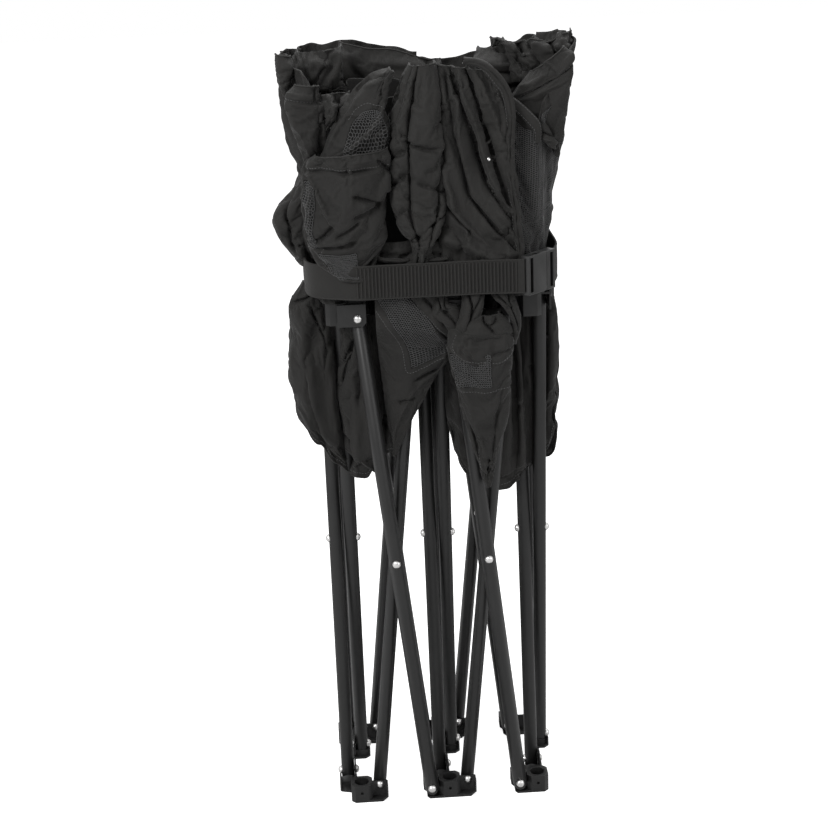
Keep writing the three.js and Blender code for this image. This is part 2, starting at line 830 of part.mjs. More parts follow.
function placeBuckle(name, solid) {
  const mesh = part(name, toGeometry(solid), blackPlastic());
  mesh.position.set(...buckleCentre, strapMiddle);
  mesh.rotation.z = buckleTurn;
  return mesh;
}

const buckleBlock = (fromX, toX, halfY, fromZ, toZ) => box([fromX, -halfY, fromZ], [toX, halfY, toZ]);

function webbingSlot(fromX) {
  const half = strapWidth / 2 + runningGap;
  return buckleBlock(fromX, fromX + buckleSlot, buckleThickness, -half, half);
}

function buckleSocket(name) {
  const start = -buckleLength / 2;
  const end = start + buckleSplit;
  const half = buckleHeight / 2;
  const room = half - buckleWall;
  const shell = buckleBlock(start, end, buckleThickness / 2, -half, half);
  const thick = buckleThickness / 2 - buckleWall;
  const cavityFrom = end - prongLength - runningGap;
  const cavity = buckleBlock(cavityFrom, end + overrun, thick, -room, room);
  const windowFrom = cavityFrom + prongWidth / 2;
  const windowTo = cavityFrom + 2 * prongWidth;
  const window = buckleBlock(windowFrom, windowTo, thick, -half - overrun, half + overrun);
  return placeBuckle(name, shell.subtract(cavity).subtract(window).subtract(webbingSlot(start + buckleBar)));
}

function bucklePlug(name) {
  const end = buckleLength / 2;
  const start = -end + buckleSplit + runningGap;
  const half = buckleHeight / 2;
  const thick = buckleThickness / 2 - buckleWall - runningGap;
  const plate = buckleBlock(start, end, buckleThickness / 2, -half, half);
  const tip = start - prongLength;
  const outer = half - buckleWall - runningGap;
  const prongs = [-1, 1].map((hand) => {
    const outline = [
      [start + overrun, hand * (outer - prongWidth)],
      [start + overrun, hand * (outer - prongBarb)],
      [tip + 2 * prongWidth, hand * (outer - prongBarb)],
      [tip + 2 * prongWidth - prongBarb, hand * outer],
      [tip + prongWidth, hand * outer],
      [tip, hand * (outer - prongBarb)],
      [tip, hand * (outer - prongWidth)],
    ];
    return slab('y', outline, -thick, thick);
  });
  const guide = buckleBlock(tip + prongWidth, start + overrun, thick, -prongWidth / 4, prongWidth / 4);
  const slot = webbingSlot(end - buckleBar - buckleSlot);
  return placeBuckle(name, unite([plate, ...prongs, guide]).subtract(slot));
}

function buildCloth() {
  const rightSeat = { hand: 1, overhang: rightSeatOverhang, drop: rightSeatDrop };
  const leftSeat = { hand: -1, overhang: leftSeatOverhang, drop: leftSeatDrop };
  return [
    backSheet('back_left', -1),
    backSheet('back_right', 1),
    lowerBackSheet('lower_back_left', -1),
    lowerBackSheet('lower_back_right', 1),
    leftArmSheet('arm_left'),
    rightArmSheet('arm_right'),
    centreBundle('back_centre_folds'),
    cupPocket('cup_pocket'),
    pouch('front_pouch'),
    seatLeaf('seat_front_left', { row: 'front', columns: 16, rows: 5, ...leftSeat }),
    seatLeaf('seat_front_right', { row: 'front', columns: 16, rows: 5, ...rightSeat }),
    seatLeaf('seat_rear_left', { row: 'rear', columns: 12, rows: 4, ...leftSeat }),
    seatLeaf('seat_rear_right', { row: 'rear', columns: 12, rows: 4, ...rightSeat }),
    seatCentreStrip('seat_front_centre', 'front'),
    seatCentreStrip('seat_rear_centre', 'rear'),
    frontFold('seat_front_fold'),
    strap('strap'),
    buckleSocket('buckle_socket'),
    bucklePlug('buckle_plug'),
  ];
}

// The frame

const rowSides = [
  { name: 'left', hand: -1, cornerSide: 1, centreSide: -1 },
  { name: 'right', hand: 1, cornerSide: -1, centreSide: 1 },
];

function buildRow({ row, rowY, nearDiameter, cornerX, cornerReach, sideDirection }) {
  const meshes = [];
  const diameterOf = (side) => (side < 0 ? nearDiameter : tubeDiameter);
  const lugTo = (direction, reach, side) => ({ direction, reach, side, diameter: diameterOf(side) });
  const footSide = -sideDirection;
  const centreSideLug = { direction: sideDirection, offset: 0 };
  const footLugs = rowSides.map(({ hand, centreSide }) => lugTo(hand, lugReach, centreSide));
  const hubLugs = rowSides.map(({ hand, cornerSide }) => lugTo(hand, lugReach, cornerSide));
  const [centreSocket, cornerSocket] = row === 'rear' ? ['through', 'through'] : ['plugged', 'blind'];
  const footCentreLug = { ...centreSideLug, side: footSide };
  const hubCentreLug = { ...centreSideLug, side: -footSide };
  meshes.push(foot(`foot_${row}_centre`, 0, rowY, footLugs, footCentreLug));
  meshes.push(hub(`hub_${row}_centre`, 0, rowY, hubLugs, hubCentreLug, centreSocket));
  for (const { name, hand, cornerSide, centreSide } of rowSides) {
    const x = hand * cornerX;
    const innerPivot = hand * lugReach;
    const outerPivot = hand * (lugReach + spread);
    const sideLug = { direction: sideDirection, offset: hand * columnX - x };
    const footLug = lugTo(-hand, cornerReach, cornerSide);
    const hubLug = lugTo(-hand, cornerReach, centreSide);
    meshes.push(foot(`foot_${row}_${name}`, x, rowY, [footLug], { ...sideLug, side: footSide }));
    meshes.push(hub(`hub_${row}_${name}`, x, rowY, [hubLug], { ...sideLug, side: -footSide }, cornerSocket));
    const outward = { footX: innerPivot, rowY, side: centreSide, direction: hand };
    const inward = { footX: outerPivot, rowY, side: cornerSide, direction: -hand };
    meshes.push(rowBar(`bar_${row}_${name}_outward`, { ...outward, diameter: diameterOf(centreSide) }));
    meshes.push(rowBar(`bar_${row}_${name}_inward`, { ...inward, diameter: diameterOf(cornerSide) }));
    meshes.push(rowRivet(`rivet_${row}_${name}`, nearDiameter, (innerPivot + outerPivot) / 2, rowY));
  }
  return meshes;
}

function buildColumns() {
  const meshes = [];
  for (const [name, hand] of [['left', -1], ['centre', 0], ['right', 1]]) {
    const planeX = hand * columnX;
    const rearward = { planeX, footY: sideReach, side: -1, direction: 1 };
    const frontward = { planeX, footY: rowDepth - sideReach, side: 1, direction: -1 };
    meshes.push(sideBar(`bar_side_${name}_rearward`, rearward));
    meshes.push(sideBar(`bar_side_${name}_frontward`, frontward));
    meshes.push(sideRivet(`rivet_side_${name}`, planeX));
    meshes.push(rearPost(`post_rear_${name}`, hand * rearCornerX));
    meshes.push(postCap(`cap_rear_${name}`, hand * rearCornerX));
  }
  for (const { name, hand } of rowSides) {
    meshes.push(armPost(`post_arm_${name}`, hand * frontCornerX));
  }
  return meshes;
}

const frontRow = {
  row: 'front',
  rowY: 0,
  nearDiameter: frontTubeDiameter,
  cornerX: frontCornerX,
  cornerReach: lugReach,
  sideDirection: 1,
};
const rearRow = {
  row: 'rear',
  rowY: rowDepth,
  nearDiameter: tubeDiameter,
  cornerX: rearCornerX,
  cornerReach: rearCornerReach,
  sideDirection: -1,
};

const model = new THREE.Group();
model.add(...buildRow(frontRow));
model.add(...buildRow(rearRow));
model.add(...buildColumns());
model.add(...buildCloth());

export default model;
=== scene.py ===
"""Dresses the folded camping loveseat: its scissor frame, hanging cloth, strap and studio."""

from __future__ import annotations
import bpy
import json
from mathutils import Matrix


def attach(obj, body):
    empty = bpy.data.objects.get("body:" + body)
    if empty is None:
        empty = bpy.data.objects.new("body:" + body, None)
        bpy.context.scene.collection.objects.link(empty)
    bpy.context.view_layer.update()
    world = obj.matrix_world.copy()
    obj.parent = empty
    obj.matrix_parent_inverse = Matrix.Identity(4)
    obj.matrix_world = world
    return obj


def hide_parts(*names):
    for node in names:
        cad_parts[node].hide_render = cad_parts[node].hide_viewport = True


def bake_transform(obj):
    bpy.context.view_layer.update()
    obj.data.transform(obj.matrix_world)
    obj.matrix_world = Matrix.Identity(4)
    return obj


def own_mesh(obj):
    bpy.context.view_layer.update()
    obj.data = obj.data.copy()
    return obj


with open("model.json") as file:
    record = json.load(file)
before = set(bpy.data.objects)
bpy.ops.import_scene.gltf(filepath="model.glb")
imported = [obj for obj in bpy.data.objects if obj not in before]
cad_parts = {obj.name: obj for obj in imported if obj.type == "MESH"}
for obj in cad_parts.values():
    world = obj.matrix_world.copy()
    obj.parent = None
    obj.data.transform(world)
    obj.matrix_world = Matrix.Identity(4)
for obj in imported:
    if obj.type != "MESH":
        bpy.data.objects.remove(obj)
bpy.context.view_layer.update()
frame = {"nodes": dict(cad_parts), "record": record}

import json
import logging
import math
from dataclasses import dataclass, field, replace
from enum import Enum
from typing import Iterable, Sequence

import bmesh
import bpy
import numpy as np
from mathutils import Matrix, Vector, noise

LOG = logging.getLogger("loveseat")
MM = 0.001
Pair = tuple[float, float]
Triple = tuple[float, float, float]


class Hand(Enum):
    """The side of the seat that a piece belongs to, seen from the front."""

    LEFT = -1
    CENTRE = 0
    RIGHT = 1

    @property
    def word(self) -> str:
        """The side's name as the pieces spell it."""
        return self.name.lower()


# Materials


class Tree:
    """A node tree, with a short way to add and link nodes."""

    def __init__(self, tree: bpy.types.NodeTree) -> None:
        """Keeps the tree.

        Args:
            tree: The tree to fill.
        """
        self.tree = tree

    def add(self, kind: str, settings: dict | None = None, **inputs: object) -> bpy.types.Node:
        """Adds a node.

        Args:
            kind: The node's type name.
            settings: Properties of the node itself.
            inputs: Values or sockets by the input's name, with underscores for spaces, or by its place, as i0.

        Returns:
            The node.
        """
        node = self.tree.nodes.new(kind)
        for key, value in (settings or {}).items():
            setattr(node, key, value)
        for key, value in inputs.items():
            placed = key[0] == "i" and key[1:].isdigit()
            socket = node.inputs[int(key[1:]) if placed else key.replace("_", " ")]
            if isinstance(value, bpy.types.NodeSocket):
                self.tree.links.new(value, socket)
            else:
                socket.default_value = value
        return node


class Shader(Tree):
    """One material's node tree."""

    def __init__(self, name: str) -> None:
        """Starts an empty tree with its output.

        Args:
            name: The material's name.
        """
        self.material = bpy.data.materials.new(name)
        self.material.use_nodes = True
        super().__init__(self.material.node_tree)
        self.tree.nodes.clear()
        self.output = self.add("ShaderNodeOutputMaterial")

    def math(self, operation: str, *values: object) -> bpy.types.NodeSocket:
        """Adds a math node.

        Args:
            operation: Its operation.
            values: Its numbers or sockets, in order.

        Returns:
            The result's socket.
        """
        inputs = {f"i{k}": value for k, value in enumerate(values)}
        return self.add("ShaderNodeMath", {"operation": operation}, **inputs).outputs[0]

    def ramp(self, value: bpy.types.NodeSocket, low: Pair, high: Pair) -> bpy.types.NodeSocket:
        """Maps a value from one range to another.

        Args:
            value: The value's socket.
            low: The low end, before and after.
            high: The high end, before and after.

        Returns:
            The mapped value's socket.
        """
        ends = {"From_Min": low[0], "To_Min": low[1], "From_Max": high[0], "To_Max": high[1]}
        return self.add("ShaderNodeMapRange", Value=value, **ends).outputs[0]

    def noise(self, place: bpy.types.NodeSocket, scale: float, detail: float = 2.0) -> bpy.types.NodeSocket:
        """A noise at a scale, in cells to the metre."""
        return self.add("ShaderNodeTexNoise", Vector=place, Scale=scale, Detail=detail).outputs[0]

    def colour(self, tone: bpy.types.NodeSocket, warmth: float = 0.0) -> bpy.types.NodeSocket:
        """A grey colour from a tone, redder and less blue by its warmth."""
        if not warmth:
            return self.add("ShaderNodeCombineColor", Red=tone, Green=tone, Blue=tone).outputs[0]
        red, blue = (self.math("MULTIPLY", tone, 1 + share * warmth) for share in (1.0, -1.5))
        return self.add("ShaderNodeCombineColor", Red=red, Green=tone, Blue=blue).outputs[0]

    def bump(self, height: bpy.types.NodeSocket, distance: float,
             strength: float = 1.0) -> bpy.types.NodeSocket:
        """Adds a bump.

        Args:
            height: The height's socket.
            distance: How far a height of one stands up, in metres.
            strength: The share of the effect.

        Returns:
            The normal's socket.
        """
        return self.add("ShaderNodeBump", Height=height, Distance=distance, Strength=strength).outputs[0]

    def close(self, surface: bpy.types.NodeSocket) -> bpy.types.Material:
        """Links the surface to the output and gives the material.

        Args:
            surface: The shader's socket.

        Returns:
            The material.
        """
        self.tree.links.new(surface, self.output.inputs[0])
        return self.material


def grey(value: float, warmth: float = 0.0) -> tuple[float, float, float, float]:
    """A near neutral colour."""
    return (value * (1 + warmth), value, value * (1 - warmth), 1.0)


@dataclass(frozen=True)
class BlackFinish:
    """A black finish with a fine relief and a cloudy change of tone and gloss.

    Spreads are the shares of the tone, and the steps of roughness, at the clouds' two ends.
    """

    tone: float
    roughness: float
    grain: float
    relief: float
    cloud: float
    cloud_detail: float
    tone_spread: Pair
    gloss_spread: Pair
    cellular: bool = False
    shine: float = 0.4

    def material(self, name: str) -> bpy.types.Material:
        """Makes the material."""
        sh = Shader(name)
        place = sh.add("ShaderNodeTexCoord").outputs["Object"]
        if self.cellular:
            grain = sh.add("ShaderNodeTexVoronoi", Vector=place, Scale=1 / self.grain).outputs[0]
        else:
            grain = sh.noise(place, 1 / self.grain)
        cloud = sh.noise(place, self.cloud, self.cloud_detail)
        tone = sh.ramp(cloud, (0.3, self.tone * self.tone_spread[0]), (0.75, self.tone * self.tone_spread[1]))
        rough = sh.ramp(cloud, (0.3, self.roughness + self.gloss_spread[0]),
                        (0.7, self.roughness + self.gloss_spread[1]))
        body = sh.add("ShaderNodeBsdfPrincipled", Base_Color=sh.colour(tone), Roughness=rough,
                      Specular_IOR_Level=self.shine, Normal=sh.bump(grain, self.relief))
        return sh.close(body.outputs[0])


@dataclass(frozen=True)
class PowderCoat(BlackFinish):
    """Satin black powder coat on the tubes, with a slight orange peel."""

    tone: float = 0.0075
    roughness: float = 0.42
    grain: float = 0.0011
    relief: float = 0.00006
    cloud: float = 22.0
    cloud_detail: float = 5.0
    tone_spread: Pair = (0.8, 1.35)
    gloss_spread: Pair = (-0.05, 0.07)


@dataclass(frozen=True)
class MouldedPlastic(BlackFinish):
    """Black moulded plastic with a fine spark grain and a dull bloom."""

    tone: float = 0.005
    roughness: float = 0.44
    grain: float = 0.0006
    relief: float = 0.00004
    cloud: float = 45.0
    cloud_detail: float = 4.0
    tone_spread: Pair = (0.75, 1.5)
    gloss_spread: Pair = (-0.06, 0.1)
    cellular: bool = True


@dataclass(frozen=True)
class ZincPlate:
    """Bright zinc on the rivets, with faint tumbling marks."""

    tone: float = 0.62
    roughness: float = 0.26

    def material(self, name: str) -> bpy.types.Material:
        """Makes the material."""
        sh = Shader(name)
        place = sh.add("ShaderNodeTexCoord").outputs["Object"]
        marks = sh.noise(place, 900.0, 3.0)
        rough = sh.ramp(marks, (0.3, self.roughness - 0.06), (0.7, self.roughness + 0.14))
        body = sh.add("ShaderNodeBsdfPrincipled", Base_Color=grey(self.tone, 0.01), Metallic=1.0,
                      Roughness=rough, Normal=sh.bump(marks, 0.00003))
        return sh.close(body.outputs[0])


@dataclass(frozen=True)
class WovenCloth:
    """Woven polyester: threads both ways, soft sheen, and a slow change of tone. It follows the cloth's own UV map."""

    tone: float = 0.0125
    roughness: float = 0.62
    thread: float = 0.0009
    relief: float = 0.00009
    crumple: float = 0.0011
    sheen: float = 0.05
    shine: float = 0.2
    warmth: float = 0.04
    cloud: float = 14.0
    creases: float = 34.0

    def material(self, name: str) -> bpy.types.Material:
        """Makes the material."""
        sh = Shader(name)
        sheet = sh.add("ShaderNodeUVMap", {"uv_map": "sheet"}).outputs[0]
        axes = sh.add("ShaderNodeSeparateXYZ", Vector=sheet).outputs
        turn = 2 * math.pi / self.thread
        warp = sh.math("SINE", sh.math("MULTIPLY", axes[0], turn))
        weft = sh.math("SINE", sh.math("MULTIPLY", axes[1], turn))
        weave = sh.math("MULTIPLY", warp, weft)
        cloud = sh.noise(sheet, self.cloud, 6.0)
        creases = sh.add("ShaderNodeTexNoise", {"noise_type": "RIDGED_MULTIFRACTAL"}, Vector=sheet,
                         Scale=self.creases, Detail=3.0, Distortion=1.3).outputs[0]
        tone = sh.ramp(cloud, (0.3, self.tone * 0.78), (0.72, self.tone * 1.3))
        rough = sh.ramp(cloud, (0.3, self.roughness - 0.05), (0.7, self.roughness + 0.07))
        large = sh.bump(creases, self.crumple, 0.35)
        fine = sh.add("ShaderNodeBump", Height=weave, Distance=self.relief, Normal=large).outputs[0]
        body = sh.add("ShaderNodeBsdfPrincipled", Base_Color=sh.colour(tone, self.warmth), Roughness=rough,
                      Sheen_Weight=self.sheen, Sheen_Roughness=0.45, Specular_IOR_Level=self.shine,
                      Normal=fine)
        return sh.close(body.outputs[0])


@dataclass(frozen=True)
class Thread:
    """Polyester thread of the nets and the stitching."""

    tone: float = 0.03
    roughness: float = 0.5
    sheen: float = 0.2

    def material(self, name: str) -> bpy.types.Material:
        """Makes the material."""
        sh = Shader(name)
        place = sh.add("ShaderNodeTexCoord").outputs["Object"]
        twist = sh.noise(place, 1600.0)
        tone = sh.ramp(twist, (0.3, self.tone * 0.7), (0.7, self.tone * 1.3))
        body = sh.add("ShaderNodeBsdfPrincipled", Base_Color=sh.colour(tone), Roughness=self.roughness,
                      Sheen_Weight=self.sheen, Normal=sh.bump(twist, 0.00005))
        return sh.close(body.outputs[0])


class Palette:
    """The finishes of the whole seat, each made once."""

    def __init__(self) -> None:
        """Makes every material."""
        self.tube = PowderCoat().material("powder coat")
        self.fitting = MouldedPlastic().material("moulded fitting")
        self.buckle = MouldedPlastic(tone=0.018, roughness=0.3, grain=0.0009).material("buckle plastic")
        self.rivet = ZincPlate().material("zinc plate")
        self.cloth = WovenCloth().material("woven cloth")
        self.padded = WovenCloth(tone=0.0135, thread=0.0011, crumple=0.0015).material("padded cloth")
        self.webbing = WovenCloth(tone=0.0155, roughness=0.66, thread=0.0016, relief=0.0002,
                                  crumple=0.0).material("webbing")
        self.net = Thread(tone=0.02).material("net thread")
        # The inner runs' cloth is darker and has no sheen: painted shade for the hollow behind the band.
        self.inner = WovenCloth(tone=0.005, roughness=0.8, sheen=0.0).material("inner cloth")
        # The sheet under each net is darker still and dull: painted shade seen through the net's holes.
        self.hollow = WovenCloth(tone=0.0035, roughness=0.9, sheen=0.0,
                                 crumple=0.0).material("cloth behind net")
        self.thread = Thread(tone=0.04, roughness=0.42).material("sewing thread")


# Mesh tools


def make_object(name: str, mesh: bpy.types.Mesh, *materials: bpy.types.Material) -> bpy.types.Object:
    """Puts a mesh in the scene with its materials."""
    mesh.materials.clear()
    for material in materials:
        mesh.materials.append(material)
    thing = bpy.data.objects.new(name, mesh)
    bpy.context.scene.collection.objects.link(thing)
    return thing


def remove(thing: bpy.types.Object) -> None:
    """Takes a helper object and its mesh out of the file."""
    data = thing.data
    bpy.data.objects.remove(thing)
    if isinstance(data, bpy.types.Mesh):
        bpy.data.meshes.remove(data)


def baked(thing: bpy.types.Object) -> bpy.types.Mesh:
    """The object's mesh with its modifiers applied, as a mesh of its own."""
    graph = bpy.context.evaluated_depsgraph_get()
    graph.update()
    return bpy.data.meshes.new_from_object(thing.evaluated_get(graph), preserve_all_data_layers=True,
                                           depsgraph=graph)


def finish_mesh(thing: bpy.types.Object) -> None:
    """Applies the object's modifiers to its mesh."""
    mesh = baked(thing)
    old = thing.data
    thing.modifiers.clear()
    thing.data = mesh
    bpy.data.meshes.remove(old)


def shade(mesh: bpy.types.Mesh, degrees: float = 40.0) -> None:
    """Shades a mesh smooth, apart from its sharp edges."""
    mesh.shade_smooth()
    mesh.set_sharp_from_angle(angle=math.radians(degrees))


def mesh_from(points: np.ndarray, faces: Sequence[Sequence[int]], name: str) -> bpy.types.Mesh:
    """A mesh from points in metres and faces."""
    mesh = bpy.data.meshes.new(name)
    mesh.from_pydata([tuple(p) for p in points], [], [tuple(f) for f in faces])
    mesh.update()
    return mesh


def loose_lines(lines: Sequence[np.ndarray]) -> bpy.types.Mesh:
    """A mesh of loose edges, in metres, along lines in millimetres."""
    edges, at = [], 0
    for line in lines:
        edges += [(at + k, at + k + 1) for k in range(len(line) - 1)]
        at += len(line)
    mesh = bpy.data.meshes.new("lines")
    mesh.from_pydata([tuple(p) for p in np.vstack(lines) * MM], edges, [])
    return mesh


def wall(thing: bpy.types.Object, thickness: float) -> None:
    """Gives a sheet its thickness, in millimetres, half to each side."""
    modifier = thing.modifiers.new("wall", "SOLIDIFY")
    modifier.thickness = thickness * MM
    modifier.offset = 0.0
    finish_mesh(thing)


# Frame


@dataclass
class ScissorGeometry:
    """The sizes and places of the scissor frame, in millimetres."""

    bar_length: float = 600.0
    fold_degrees: float = 6.0
    tube: float = 16.0
    front_tube: float = 17.0
    wall: float = 1.2
    end_margin: float = 0.6
    lug: float = 2.0
    gap: float = 0.3
    pivot_height: float = 17.0
    reach: float = 22.5
    corner_reach: float = 36.0
    side_reach: float = 41.0
    post: float = 17.0
    post_floor: float = 3.3
    post_top: float = 861.713
    hub_drop: float = 9.0

    @property
    def angle(self) -> float:
        """Each bar's lean, in radians."""
        return math.radians(self.fold_degrees)

    @property
    def spread(self) -> float:
        """How far a bar's top lies from its foot, level."""
        return self.bar_length * math.sin(self.angle)

    @property
    def hub_height(self) -> float:
        """The height of the upper pivots."""
        return self.pivot_height + self.bar_length * math.cos(self.angle)

    @property
    def front_corner(self) -> float:
        """The front corner feet's distance from the middle."""
        return 2 * self.reach + self.spread

    @property
    def rear_corner(self) -> float:
        """The rear corner feet's distance from the middle."""
        return self.reach + self.spread + self.corner_reach

    @property
    def column(self) -> float:
        """The outer side bars' distance from the middle."""
        return (self.front_corner + self.rear_corner) / 2

    @property
    def depth(self) -> float:
        """The distance from the front row to the rear row."""
        return 2 * self.side_reach + self.spread

    @property
    def layer(self) -> float:
        """From the middle of a lug to the near side of its bar."""
        return self.lug / 2 + self.gap


@dataclass
class Bar:
    """One scissor bar."""

    name: str
    low: Vector
    high: Vector
    diameter: float
    rivet_axis: Vector


@dataclass(frozen=True)
class ShoeSizes:
    """The channel for a side bar's foot, in millimetres from the side lug: its plan, and its levels off the ground."""

    near: float = -1.5
    play: float = 0.6
    start: float = 9.5
    past_pivot: float = 10.5
    corner: float = 6.0
    wall: float = 2.0
    rounding: float = 0.4
    floor_levels: Pair = (0.2, 3.3)
    wall_levels: Pair = (2.4, 11.5)


class ScissorFrame:
    """The bars, posts, rivets, feet and upper fittings."""

    SIDES = 36
    CHAMFER = 0.35
    PLUG = 3
    TUBE_SHADE, MOULDED_SHADE = 50, 32
    SHARP_ANGLE = math.radians(34)

    def __init__(self, sizes: ScissorGeometry, palette: Palette) -> None:
        """Keeps the sizes and finishes.

        Args:
            sizes: The frame's sizes.
            palette: The finishes.
        """
        self.sizes = sizes
        self.palette = palette
        self.rivets: dict[str, list[tuple[Vector, Vector]]] = {}

    def body_of(self, node: str) -> str:
        """The name of the body that a CAD node rides on."""
        bodies = frame["record"]["behaviour"]["bodies"]
        return next(name for name, nodes in bodies.items() if node in nodes)

    def row_side(self, hand: int, outward: bool) -> int:
        """The side of the row, -1 in front, that a row bar lies on."""
        return hand if outward else -hand

    def row_diameter(self, row: str, side: int) -> float:
        """A row bar's diameter."""
        return self.sizes.front_tube if row == "front" and side < 0 else self.sizes.tube

    def bars(self) -> list[Bar]:
        """All fourteen bars.

        Returns:
            The bars, with their end pivots in millimetres.
        """
        z = self.sizes
        lean = Vector((math.sin(z.angle), 0, math.cos(z.angle))) * z.bar_length
        bars = []
        for row, y in (("front", 0.0), ("rear", z.depth)):
            for hand in (-1, 1):
                for outward in (True, False):
                    side = self.row_side(hand, outward)
                    diameter = self.row_diameter(row, side)
                    foot = hand * (z.reach if outward else z.reach + z.spread)
                    low = Vector((foot, y + side * (z.layer + diameter / 2), z.pivot_height))
                    way = hand if outward else -hand
                    high = low + Vector((way * lean.x, 0, lean.z))
                    word = "outward" if outward else "inward"
                    name = f"bar_{row}_{Hand(hand).word}_{word}"
                    bars.append(Bar(name, low, high, diameter, Vector((0, 1, 0))))
        for hand in Hand:
            for word, side, foot, way in (("rearward", -1, z.side_reach, 1),
                                          ("frontward", 1, z.depth - z.side_reach, -1)):
                low = Vector((hand.value * z.column + side * (z.layer + z.tube / 2), foot, z.pivot_height))
                high = low + Vector((0, way * lean.x, lean.z))
                bars.append(Bar(f"bar_side_{hand.word}_{word}", low, high, z.tube, Vector((1, 0, 0))))
        return bars

    def tube_mesh(self, name: str, low: Vector, high: Vector, radius: float, axis: Vector,
                  margin: float | None) -> bpy.types.Mesh:
        """A round tube with a wall, open at both ends.

        Args:
            name: The mesh's name.
            low: The lower pivot, or the lower end where margin is None.
            high: The upper pivot or end.
            radius: The outer radius.
            axis: The rivets' direction, about which the ends are rounded.
            margin: How far the rounded end's radius passes the tube's, or None for square ends.

        Returns:
            The mesh, in metres.
        """
        along = (high - low).normalized()
        u = axis.normalized()
        v = along.cross(u).normalized()
        inner = radius - self.sizes.wall
        chamfer, plug = self.CHAMFER, radius * self.PLUG

        def ring(end: Vector, way: float, r: float, back: float) -> list[Vector]:
            """One ring of points near an end."""
            points = []
            for k in range(self.SIDES):
                turn = 2 * math.pi * k / self.SIDES
                out = 0.0 if margin is None else math.sqrt((radius + margin) ** 2 - (r * math.sin(turn)) ** 2)
                offset = u * (r * math.cos(turn)) + v * (r * math.sin(turn))
                points.append(end + along * way * (out - back) + offset)
            return points

        rings = [
            ring(low, -1, inner, plug), ring(low, -1, inner, chamfer), ring(low, -1, inner + chamfer, 0),
            ring(low, -1, radius - chamfer, 0), ring(low, -1, radius, chamfer),
            ring(high, 1, radius, chamfer),
            ring(high, 1, radius - chamfer, 0), ring(high, 1, inner + chamfer, 0),
            ring(high, 1, inner, chamfer), ring(high, 1, inner, plug),
        ]
        points = np.array([p for line in rings for p in line]) * MM
        n = self.SIDES
        faces: list[list[int]] = [list(range(n))[::-1]]
        for j in range(len(rings) - 1):
            faces += [[j * n + k, j * n + (k + 1) % n, (j + 1) * n + (k + 1) % n, (j + 1) * n + k]
                      for k in range(n)]
        faces.append([(len(rings) - 1) * n + k for k in range(n)])
        mesh = mesh_from(points, faces, name)
        work = bmesh.new()
        work.from_mesh(mesh)
        bmesh.ops.recalc_face_normals(work, faces=work.faces)
        work.to_mesh(mesh)
        work.free()
        shade(mesh, self.TUBE_SHADE)
        return mesh

    def place_tube(self, node: str, mesh: bpy.types.Mesh) -> None:
        """Puts a fine tube in the place of its CAD node."""
        thing = make_object(f"{node}_tube", mesh, self.palette.tube)
        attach(thing, self.body_of(node))
        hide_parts(node)

    def build_tubes(self) -> None:
        """Makes the bars and the posts."""
        z = self.sizes
        for bar in self.bars():
            mesh = self.tube_mesh(bar.name, bar.low, bar.high, bar.diameter / 2, bar.rivet_axis, z.end_margin)
            self.place_tube(bar.name, mesh)
        axis = Vector((0, 1, 0))
        for hand in Hand:
            node = f"post_rear_{hand.word}"
            x = hand.value * z.rear_corner
            low, high = Vector((x, z.depth, z.post_floor)), Vector((x, z.depth, z.post_top))
            self.place_tube(node, self.tube_mesh(node, low, high, z.post / 2, axis, None))

    def note_rivet(self, body: str, pivot: Vector, axis: Vector, side: int, first: float,
                   last: float) -> None:
        """Notes a rivet's two heads.

        Args:
            body: The body that it rides on.
            pivot: The middle of the lug, in millimetres.
            axis: The rivet's direction.
            side: Which way along the axis its long end goes.
            first: How far the short end's face lies from the pivot.
            last: How far the long end's face lies from the pivot.
        """
        heads = self.rivets.setdefault(body, [])
        heads.append((pivot - axis * side * first, -axis * side))
        heads.append((pivot + axis * side * last, axis * side))

    def note_row_rivets(self) -> None:
        """Notes the rivets of the two rows."""
        z = self.sizes
        axis = Vector((0, 1, 0))
        half = z.lug / 2
        middle = (z.pivot_height + z.hub_height) / 2
        for row, y in (("front", 0.0), ("rear", z.depth)):
            near = self.row_diameter(row, -1)
            for hand in (-1, 1):
                word = Hand(hand).word
                inner, outer = hand * z.reach, hand * (z.reach + z.spread)
                crossing = Vector(((inner + outer) / 2, y, middle))
                body = self.body_of(f"rivet_{row}_{word}")
                self.note_rivet(body, crossing, axis, 1, z.layer + near, z.layer + z.tube)
                for outward, foot_x, hub_x in ((True, inner, outer), (False, outer, inner)):
                    side = self.row_side(hand, outward)
                    bar = 2 * z.gap + self.row_diameter(row, side)
                    foot = "centre" if outward else word
                    hub = word if outward else "centre"
                    low = Vector((foot_x, y, z.pivot_height))
                    high = Vector((hub_x, y, z.hub_height))
                    self.note_rivet(self.body_of(f"foot_{row}_{foot}"), low, axis, side, half, half + bar)
                    self.note_rivet(self.body_of(f"hub_{row}_{hub}"), high, axis, side, half,
                                    half + bar + z.lug)

    def note_side_rivets(self) -> None:
        """Notes the rivets of the three columns."""
        z = self.sizes
        axis = Vector((1, 0, 0))
        half = z.lug / 2
        bar = 2 * z.gap + z.tube
        middle = (z.pivot_height + z.hub_height) / 2
        for hand in Hand:
            x = hand.value * z.column
            body = self.body_of(f"rivet_side_{hand.word}")
            face = z.layer + z.tube
            self.note_rivet(body, Vector((x, z.depth / 2, middle)), axis, 1, face, face)
            for row, y, side in (("front", z.side_reach, -1), ("rear", z.depth - z.side_reach, 1)):
                low, high = Vector((x, y, z.pivot_height)), Vector((x, y, z.hub_height))
                self.note_rivet(self.body_of(f"foot_{row}_{hand.word}"), low, axis, side, half, half + bar)
                self.note_rivet(self.body_of(f"hub_{row}_{hand.word}"), high, axis, -side, half,
                                half + bar + z.lug)

